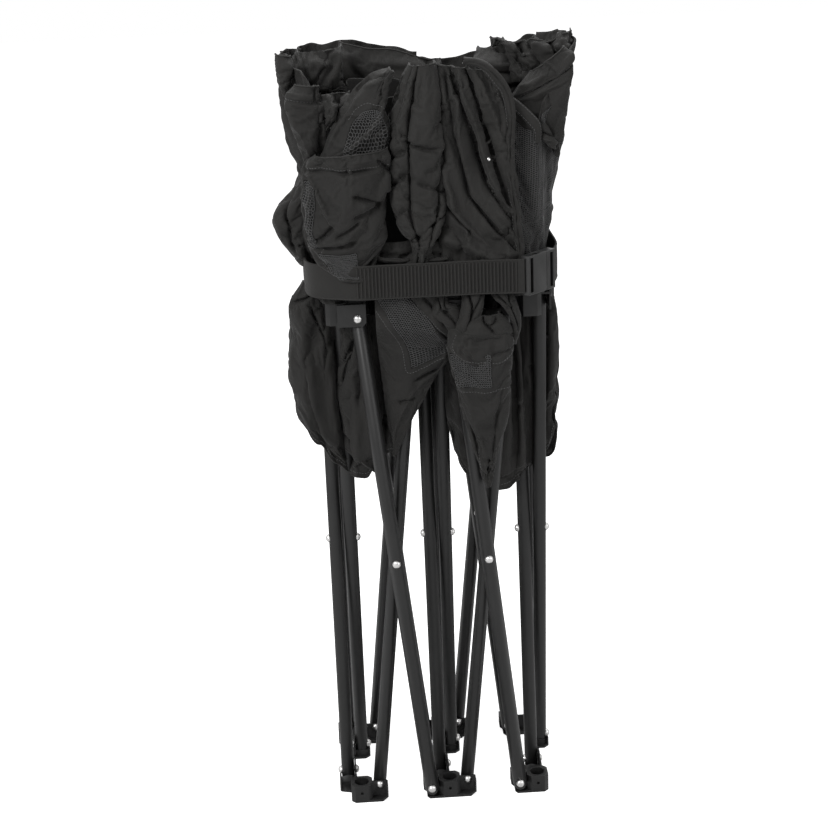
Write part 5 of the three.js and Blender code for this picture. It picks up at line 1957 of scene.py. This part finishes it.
    def cut(self, room: Workroom) -> None:
        """Cuts every piece."""
        for hand in (Hand.LEFT, Hand.RIGHT):
            room.cut(self.back(hand), self.lower_back(hand))
        room.cut(self.right_arm(), self.left_arm(), *self.left_side(), *self.middle(), self.inner_runs(),
                 *self.right_side(), self.band_foot(0), self.band_foot(1))


# Seat cloth below the strap


@dataclass
class SeatCloth(ClothGroup):
    """The seat's halves in their hanging lobes, the front fold and the pouch. Sizes are in millimetres."""

    fold_depth: float = 16.0
    strip: float = 26.0

    @property
    def top(self) -> float:
        """The height at which the seat hangs from the fittings."""
        return self.sizes.hub_height - self.sizes.hub_drop - 0.5

    @property
    def line(self) -> float:
        """The Y of the front half."""
        return self.sizes.side_reach - self.sizes.tube / 2 - 0.5

    def seat_blend(self, row: str, hand: Hand) -> tuple[str, str, Triple, Triple]:
        """The blend of half of the seat, as data; nothing stretches the cloth by it."""
        y = (self.line if row == "front" else self.sizes.depth - self.line) * MM
        return (f"seat_{row}", f"seat_{row}_{hand.word}", (0.0, y, 0.6), (hand.value * 0.15, y, 0.6))

    def leaf(self, row: str, hand: Hand) -> Tailored:
        """A quarter of the seat, in hanging lobes."""
        z = self.sizes
        overhang = 41.0 if hand is Hand.LEFT else 26.0
        drop = 215.0 if hand is Hand.LEFT else 240.0
        start = self.strip / 2 + 0.5
        path = [(start, self.line), *[(z.column * share, self.line) for share in (0.25, 0.5, 0.75, 1)]]
        turn = ((0.75, 0), (1, 0.07), (0.98, 0.17))
        path += [(z.column + overhang * a, self.line + z.depth * b) for a, b in turn]
        if hand is Hand.RIGHT and row == "front":
            way = ((24, 0), (44, 0), (64, 0), (80, 1), (94, 9), (108, 19), (124, 21), (138, 24), (141, 42))
            path = [(start, self.line), *[(x, self.line + y) for x, y in way]]
        path = [(hand.value * x, z.depth - y if row == "rear" else y) for x, y in path]
        raised = (0, 0, 0, 0, 0, 0, 6, 8, 0) if hand is Hand.LEFT else (0, 0, 0, 0, 0, 0, 0, 24, 10)
        tops = [self.top + lift for lift in raised]
        if hand is Hand.LEFT:
            drops = (0.3, 0.5, 0.64, 0.8, 0.83, 0.95, 0.94, 0.86, 0.73, 0.6, 0.5, 0.44, 0.4)
            folds = [0, 0.6, 0.9, 0.4, 0.0, 0.7, 0.8, 0.1, 0.4, 0.9, 0.7, 0.4, 0.2, 0]
        else:
            drops = (0.4, 0.72, 0.86, 0.92, 0.97, 0.96, 0.92, 0.89, 0.86, 0.8, 0.68, 0.5)
            folds = [0, 0.4, 0.9, 1, 0.5, 0.1, 0.6, 0.9, 0.2, 0.3, 0.5, 0.4, 0.2, 0]
        bottom = [self.top - drop * share for share in drops]
        if (hand is Hand.LEFT) != (row == "rear"):
            path, bottom, folds, tops = path[::-1], bottom[::-1], folds[::-1], tops[::-1]
        lean = math.tan(z.angle) * (-1 if row == "rear" else 1)
        surface = ClothSurface.hanging(
            path, tops, bottom, folds, (0, 0.3, 0.7, 1, 1, 0.8, 0.5), self.fold_depth, lean=lean, cell=3.4)
        seed = 120 + hand.value + (10 if row == "rear" else 0)
        folded = [
            (0.4, 0, 0.45, 1, -13, 4.5), (0.36, 0.05, 0.4, 0.8, 5, 6), (0.56, 0.1, 0.58, 0.9, 8, 8),
            (0.69, 0, 0.68, 0.9, -10, 4), (0.34, 0, 0.12, 0.5, 5, 3), (0.5, 0, 0.53, 0.5, -6, 3),
            (0.2, 0.45, 0.3, 1, -4, 5), (0.47, 0.2, 0.52, 0.05, 5, 3), (0.6, 0.9, 0.75, 0.6, -4, 4),
        ]
        if hand is Hand.RIGHT:
            folded = [
                (0.54, 0, 0.52, 0.9, -10, 4), (0.58, 0.05, 0.57, 0.5, 5, 3), (0.62, 0, 0.615, 0.52, -8, 3),
                (0.66, 0.05, 0.66, 0.5, 5, 3), (0.72, 0, 0.7, 0.4, -7, 3), (0.22, 0.1, 0.3, 1, -8, 5),
                (0.8, 0, 0.82, 0.9, -9, 4), (0.88, 0.1, 0.9, 0.9, 5, 5), (0.12, 0.1, 0.16, 0.8, 5, 6),
            ]
        surface.fold(folded)
        surface.ruffle((2.0, 34, 110, seed), (1.1, 15, 44, seed + 3, 0.2))
        word = hand.word
        return Tailored(
            f"seat_{row}_{word}_cloth", surface, (f"seat_{row}_{word}",), f"seat_{row}_{word}",
            self.palette.cloth, growth=0.035, cap=5.0, blend=self.seat_blend(row, hand),
            hems=[[(0, 0.995), (0.25, 0.995), (0.5, 0.995), (0.75, 0.995), (1, 0.995)]],
            seams=[across(0.01, 0.97)])

    def lobe(self, place: int) -> Tailored:
        """One of the two lobes at the left of the seat, in front of the rest."""
        edges = (
            ([(-144, 648), (-159, 622), (-161, 588), (-164, 552), (-164, 524), (-147, 486), (-122, 440)],
             [(-128, 645), (-122, 606), (-119, 572), (-116, 536), (-113, 500), (-111, 462), (-106, 421)], 27),
            ([(-99, 601), (-103, 576), (-107, 550), (-110, 513), (-107, 476), (-105, 437)],
             [(-80, 600), (-77, 576), (-75, 550), (-70, 510), (-66, 468), (-68, 404)], 25),
        )
        left, right, front = edges[place]
        folded = (
            [(0.1, 0.15, 0.75, 0.02, -4, 2.6), (0.62, 0.12, 0.9, 0.3, -5, 2.6), (0.4, 0.2, 0.45, 0.9, 3, 8),
             (0.8, 0.2, 0.7, 0.6, 4, 4)],
            [(0.15, 0.3, 0.6, 0.08, -5, 2.6), (0.2, 0.45, 0.45, 0.15, -5, 2.4), (0.5, 0.4, 0.5, 0.9, 3, 6),
             (0.1, 0.85, 0.6, 0.95, -4, 3)],
        )[place]
        return self.panel(
            f"seat_lobe_{place}", "seat_front_left", left, right, front, 9, wrap=6, roundness=0.4,
            lean=(-1, 1, 5, 9, 13, 18, 22), cell=2.8, creases=folded, ruffles=[(1.8, 26, 60, 131 + place)],
            growth=0.03, cap=4.0, blend=self.seat_blend("front", Hand.LEFT), hems=[across(0.02, 0.99)])

    def strip_cloth(self, row: str) -> Tailored:
        """The short middle of the seat at one row."""
        half = self.strip / 2
        y = self.line if row == "front" else self.sizes.depth - self.line
        path = [(-half, y), (0, y), (half, y)]
        if row == "rear":
            path = path[::-1]
        lean = math.tan(self.sizes.angle) * (-1 if row == "rear" else 1)
        surface = ClothSurface.hanging(path, [self.top] * 2, [self.top - 50] * 2, lean=lean, cell=2.6)
        surface.ruffle((1.4, 12, 24, 141))
        return Tailored(f"seat_{row}_centre_cloth", surface, (f"seat_{row}_centre",), f"seat_{row}",
                        self.palette.cloth, growth=0.0, hems=[across(0, 0.99)])

    def front_pieces(self) -> list[Tailored]:
        """The middle panel and the pouch."""
        return [
            # The panel of the seat between the crossing front bars, with its slanting band of net.
            self.panel(
                "seat_front_fold", "hub_front_centre", [(-66, 644), (-65, 606), (-63, 560), (-58, 506),
                (-53, 446)], [(2, 644), (19, 606), (23, 572), (-2, 532), (-30, 482), (-50, 443)], 0.4, 6,
                roundness=1.0, lean=(-29, -26, -4, 0, 0, 0), cell=2.4, creases=[(0.5, 0, 0.97, 0.36, -2.5, 2),
                (0.3, 0.95, 0.7, 0.62, 3, 3), (0.65, 0.56, 0.95, 0.5, -4, 3), (0.4, 0.7, 0.8, 0.66, -3, 3),
                (0.62, 0.08, 0.85, 0.3, 4, 4), (0.75, 0.02, 0.95, 0.2, -4, 3)], ruffles=[(1.4, 24, 40, 151)],
                nodes=("seat_front_fold",), growth=0.02, cap=1.5,
                nets=[
                    NetPatch((0, 1), (0, 1), corners=((0.02, 0.03), (0.52, 0.02), (0.97, 0.42),
                                                      (0.5, 0.54)))],
                hems=[across(0.02, 0.995)], seams=[[(0.5, 0), (0.75, 0.2), (0.98, 0.38)], [(0.02, 0.14),
                (0.3, 0.4), (0.47, 0.56), (0.9, 0.47)]]),
            # The pouch in front, narrowing to its foot.
            self.panel(
                "front_pouch", "hub_front_centre", [(16, 600), (14, 576), (19, 545), (27, 508), (38, 468),
                (51, 414)], [(86, 600), (86, 576), (83, 545), (78, 508), (70, 468), (58, 413)], -25, 17,
                wrap=7, roundness=0.4, lean=(3, 0, 0, 0, 2), cell=2.4, creases=[(0.25, 0.3, 0.45, 0.95, 4, 5),
                (0.75, 0.35, 0.55, 0.95, -3, 5), (0.05, 0.3, 0.3, 0.8, -4, 3), (0.5, 0.8, 0.48, 1, -4, 3),
                (0.9, 0.3, 0.86, 0.7, 3, 3)], ruffles=[(1.4, 24, 40, 161), (0.7, 11, 16, 163)],
                nodes=("front_pouch",), growth=0.035, pressure=0.8,
                nets=[NetPatch((0.1, 0.62), (0.22, 0.46))], hems=[across(0.03, 0.005)], seams=[[(0.08, 0.48),
                (0.5, 0.49), (0.92, 0.48)], [(0.06, 0.2), (0.1, 0.6), (0.3, 0.95)]]),
            # The rounded flap over the pouch's mouth.
            self.panel(
                "pouch_flap", "hub_front_centre", [(26, 596), (19, 586), (18, 577), (27, 568), (42, 565)],
                [(82, 594), (86, 584), (85, 574), (77, 566), (62, 562)], -34, 14, wrap=3, roundness=0.4,
                lean=(6, 0, -2, 1), cell=2.0, creases=[(0.1, 0.1, 0.9, 0.06, 4, 3),
                (0.15, 0.3, 0.6, 0.42, 3, 4), (0.5, 0.7, 0.95, 0.4, -3, 3)], ruffles=[(1.4, 18, 12, 171)],
                growth=0.05, pressure=0.6, pins=("top", "left", "right"), hems=[[(0, 0), (0, 0.5),
                (0.04, 0.95), (0.5, 0.995), (0.96, 0.95), (1, 0.5), (1, 0)]], seams=[[(0.06, 0.1),
                (0.07, 0.6), (0.2, 0.88), (0.5, 0.91), (0.8, 0.88), (0.93, 0.6), (0.94, 0.1)]]),
        ]

    def knot(self, place: int) -> Tailored:
        """One of the bunched loops of cloth between the strap and the pouch."""
        edges = (
            ([(-3, 646), (0, 630), (-4, 618), (8, 606), (22, 588)],
             [(14, 646), (15, 630), (26, 624), (29, 610), (26, 592)], -26),
            ([(30, 648), (31, 632), (28, 618), (23, 604), (22, 590)],
             [(54, 648), (54, 634), (50, 618), (40, 602), (32, 590)], -33),
            ([(57, 650), (66, 634), (78, 620), (84, 604), (82, 584)],
             [(80, 650), (86, 636), (92, 620), (94, 602), (89, 578)], -31),
            ([(46, 616), (37, 607), (31, 598), (27, 590)], [(70, 617), (79, 608), (84, 598), (83, 590)], -37),
        )
        left, right, front = edges[place]
        return self.panel(
            f"front_knot_{place}", "hub_front_centre", left, right, front, 9, wrap=5, lean=(3, -2, 0, 5),
            cell=1.8, creases=[(0.3, 0, 0.62, 0.8, -4, 2.2), (0.75, 0.1, 0.5, 0.5, -3, 2.2)],
            ruffles=[(1.2, 26, 20, 181 + 2 * place)], growth=0.02, pressure=1.0, padded=True, thickness=1.8)

    def cut(self, room: Workroom) -> None:
        """Cuts every piece."""
        for row in ("front", "rear"):
            for hand in (Hand.LEFT, Hand.RIGHT):
                room.cut(self.leaf(row, hand))
            room.cut(self.strip_cloth(row))
        room.cut(*self.front_pieces(), self.lobe(0), self.lobe(1), *(self.knot(place) for place in range(4)))


# Strap


@dataclass
class Strap:
    """The webbing strap round the bundle. Sizes are in millimetres."""

    sizes: ScissorGeometry
    palette: Palette
    width: float = 38.0
    thickness: float = 1.8
    above_hub: float = 28.0
    around: float = 19.5
    front: float = 43.5
    rib_pitch: float = 3.9
    rib_radius: float = 0.95
    rib_lift: float = 0.55
    rib_end: float = 0.992
    buckle_centre: Pair = (114.94, -31.95)
    buckle_turn: float = math.radians(44)
    buckle_half: float = 23.3
    wave_height: float = 0.35
    wave_length: float = 23.0
    flattened: float = 0.3

    @property
    def bottom(self) -> float:
        """The strap's lower edge."""
        return self.sizes.hub_height + self.above_hub

    def buckle_end(self, way: int) -> Pair:
        """Where the strap meets the buckle."""
        reach = way * self.buckle_half
        return (self.buckle_centre[0] + reach * math.cos(self.buckle_turn),
                self.buckle_centre[1] + reach * math.sin(self.buckle_turn))

    def path(self) -> list[Pair]:
        """The strap's way from one end of the buckle round to the other."""
        z = self.sizes
        side = z.rear_corner + self.around
        diagonal = self.around * math.sqrt(0.5)
        right = [(side, z.depth * 0.15), (side, z.depth * 0.6), (side, z.depth),
                 (z.rear_corner + diagonal, z.depth + diagonal), (z.rear_corner, z.depth + self.around)]
        left = [(-x, y) for x, y in right][::-1]
        front = [(share * z.front_corner, -self.front) for share in (-0.8, -0.5, 0, 0.5)]
        return [self.buckle_end(1), *right, (0.0, z.depth + self.around), *left,
                (-side + self.around / 2, -self.front / 2), *front, self.buckle_end(-1)]

    def build(self) -> None:
        """Makes the webbing, its ribs and its selvages."""
        top = [self.bottom + self.width] * 2
        surface = ClothSurface.hanging(self.path(), top, [self.bottom] * 2, stand=self.thickness / 2,
                                       cell=2.2)
        u, v = surface.flat()
        wave = self.wave_height * np.sin(u / self.wave_length) * np.sin(v / self.width * math.pi)
        surface.points = surface.points + surface.outward() * wave[:, :, None]
        thing = make_object("strap_webbing", surface.mesh("strap_webbing"), self.palette.webbing)
        wall(thing, self.thickness)
        shade(thing.data, 60)
        ribs = self.ribs(surface)
        edges = [surface.at([(0, t), (0.25, t), (0.5, t), (0.75, t), (1, t)], step=2.0, lift=0.2)
                 for t in (0.02, 0.98)]
        selvage = Piping(self.palette.webbing)
        hem = make_object("strap_selvage", selvage.run("strap_selvage", loose_lines(edges)),
                          self.palette.webbing)
        for each in (thing, ribs, hem):
            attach(each, "foot_rear_centre")
            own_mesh(each)
        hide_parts("strap")
        length, height = surface.lengths()

    def ribs(self, surface: ClothSurface) -> bpy.types.Object:
        """The ribs across the front of the strap.

        Args:
            surface: The strap's surface.

        Returns:
            The ribs.
        """
        length, _ = surface.lengths()
        u, _ = surface.flat()
        late = int(surface.shape[0] * 0.7)
        start = -self.sizes.front_corner * 0.8
        first = float(np.interp(start, surface.points[0, late:, 0], u[0, late:])) / length
        count = int((self.rib_end - first) * length / self.rib_pitch)
        lines = []
        for k in range(count):
            s = first + (self.rib_end - first) * (k + 0.5) / count
            lines.append(surface.sample(np.full(9, s), np.linspace(0.06, 0.94, 9),
                                        self.rib_lift + self.thickness / 2))
        tool = Piping(self.palette.webbing)
        mesh = tool.run("strap_ribs", loose_lines(lines), {"Radius": self.rib_radius * MM})
        return make_object("strap_ribs", mesh, self.palette.webbing)


# Studio


@dataclass
class Studio:
    """The pale floor, the soft lights and the camera. Lengths are in metres."""

    camera_place: Triple = (-0.1076, -1.9381, 1.1526)
    yaw: float = 0.042
    pitch: float = 0.328
    roll: float = 0.039
    focal: float = 1796.7
    image: float = 828.0
    sensor: float = 36.0
    floor_half: float = 8.0
    floor_glow: float = 0.8
    daylight: float = 0.36

    def camera(self) -> None:
        """Places the camera as the photograph's."""
        forward = Vector((math.sin(self.yaw) * math.cos(self.pitch),
                          math.cos(self.yaw) * math.cos(self.pitch), -math.sin(self.pitch)))
        right = Vector((math.cos(self.yaw), -math.sin(self.yaw), 0.0))
        up = right.cross(forward)
        cos, sin = math.cos(self.roll), math.sin(self.roll)
        x = right * cos - up * sin
        y = right * sin + up * cos
        turn = Matrix((x, y, -forward)).transposed().to_4x4()
        data = bpy.data.cameras.new("camera")
        data.sensor_width = self.sensor
        data.lens = self.focal / self.image * self.sensor
        data.clip_end = 50.0
        thing = bpy.data.objects.new("camera", data)
        thing.matrix_world = Matrix.Translation(self.camera_place) @ turn
        bpy.context.scene.collection.objects.link(thing)
        bpy.context.scene.camera = thing

    def lamp(self, name: str, place: Triple, target: Triple, size: float, power: float) -> None:
        """Adds a soft square lamp that points at a target."""
        data = bpy.data.lights.new(name, "AREA")
        data.size = size
        data.energy = power
        thing = bpy.data.objects.new(name, data)
        way = Vector(target) - Vector(place)
        thing.matrix_world = Matrix.Translation(place) @ way.to_track_quat("-Z", "Y").to_matrix().to_4x4()
        bpy.context.scene.collection.objects.link(thing)

    def backdrop(self) -> None:
        """Makes the floor and the pale world."""
        points = np.array([(-1, -1, 0), (1, -1, 0), (1, 1, 0), (-1, 1, 0)]) * self.floor_half
        sh = Shader("floor")
        place = sh.add("ShaderNodeTexCoord").outputs["Object"]
        cloud = sh.noise(place, 3.0)
        tone = sh.ramp(cloud, (0.3, 0.9), (0.7, 0.93))
        paper = sh.add("ShaderNodeBsdfDiffuse", Color=sh.colour(tone))
        glow = sh.add("ShaderNodeEmission", Color=grey(1.0), Strength=self.floor_glow)
        path = sh.add("ShaderNodeLightPath").outputs["Is Camera Ray"]
        lit = sh.add("ShaderNodeAddShader", i0=paper.outputs[0], i1=glow.outputs[0])
        mixed = sh.add("ShaderNodeMixShader", Fac=path, i1=paper.outputs[0], i2=lit.outputs[0])
        floor = make_object("floor", mesh_from(points, [(0, 1, 2, 3)], "floor"), sh.close(mixed.outputs[0]))
        world = bpy.data.worlds.new("studio")
        world.use_nodes = True
        sky = Tree(world.node_tree)
        sky.tree.nodes.clear()
        light = sky.add("ShaderNodeLightPath").outputs
        seen = light["Is Camera Ray"]
        for word in ("Is Glossy Ray", "Is Transmission Ray"):
            seen = sky.add("ShaderNodeMath", {"operation": "MAXIMUM"}, i0=seen, i1=light[word]).outputs[0]
        soft, white = (sky.add("ShaderNodeBackground", Color=grey(1.0), Strength=power)
                       for power in (self.daylight, 1.0))
        mixed = sky.add("ShaderNodeMixShader", i0=seen, i1=soft.outputs[0], i2=white.outputs[0])
        sky.add("ShaderNodeOutputWorld", i0=mixed.outputs[0])
        bpy.context.scene.world = world

    def build(self) -> None:
        """Sets the whole studio up."""
        self.camera()
        self.backdrop()
        middle = (0.0, 0.05, 0.55)
        self.lamp("key", (-1.6, -1.7, 2.1), middle, 0.9, 58)
        self.lamp("fill", (1.9, -1.3, 1.3), middle, 1.4, 13)
        self.lamp("top", (0.1, 0.7, 2.4), middle, 1.2, 20)
        bpy.context.scene.view_settings.view_transform = "Standard"


def main() -> None:
    """Builds the seat and its studio, in order."""
    logging.basicConfig(level=logging.INFO, format="%(name)s: %(message)s")
    palette = Palette()
    sizes = ScissorGeometry()
    Studio().build()
    ScissorFrame(sizes, palette).build()
    room = Workroom(palette)
    UpperCloth(sizes, palette).cut(room)
    SeatCloth(sizes, palette).cut(room)
    room.deliver()
    Strap(sizes, palette).build()


if __name__ == "__main__":
    main()
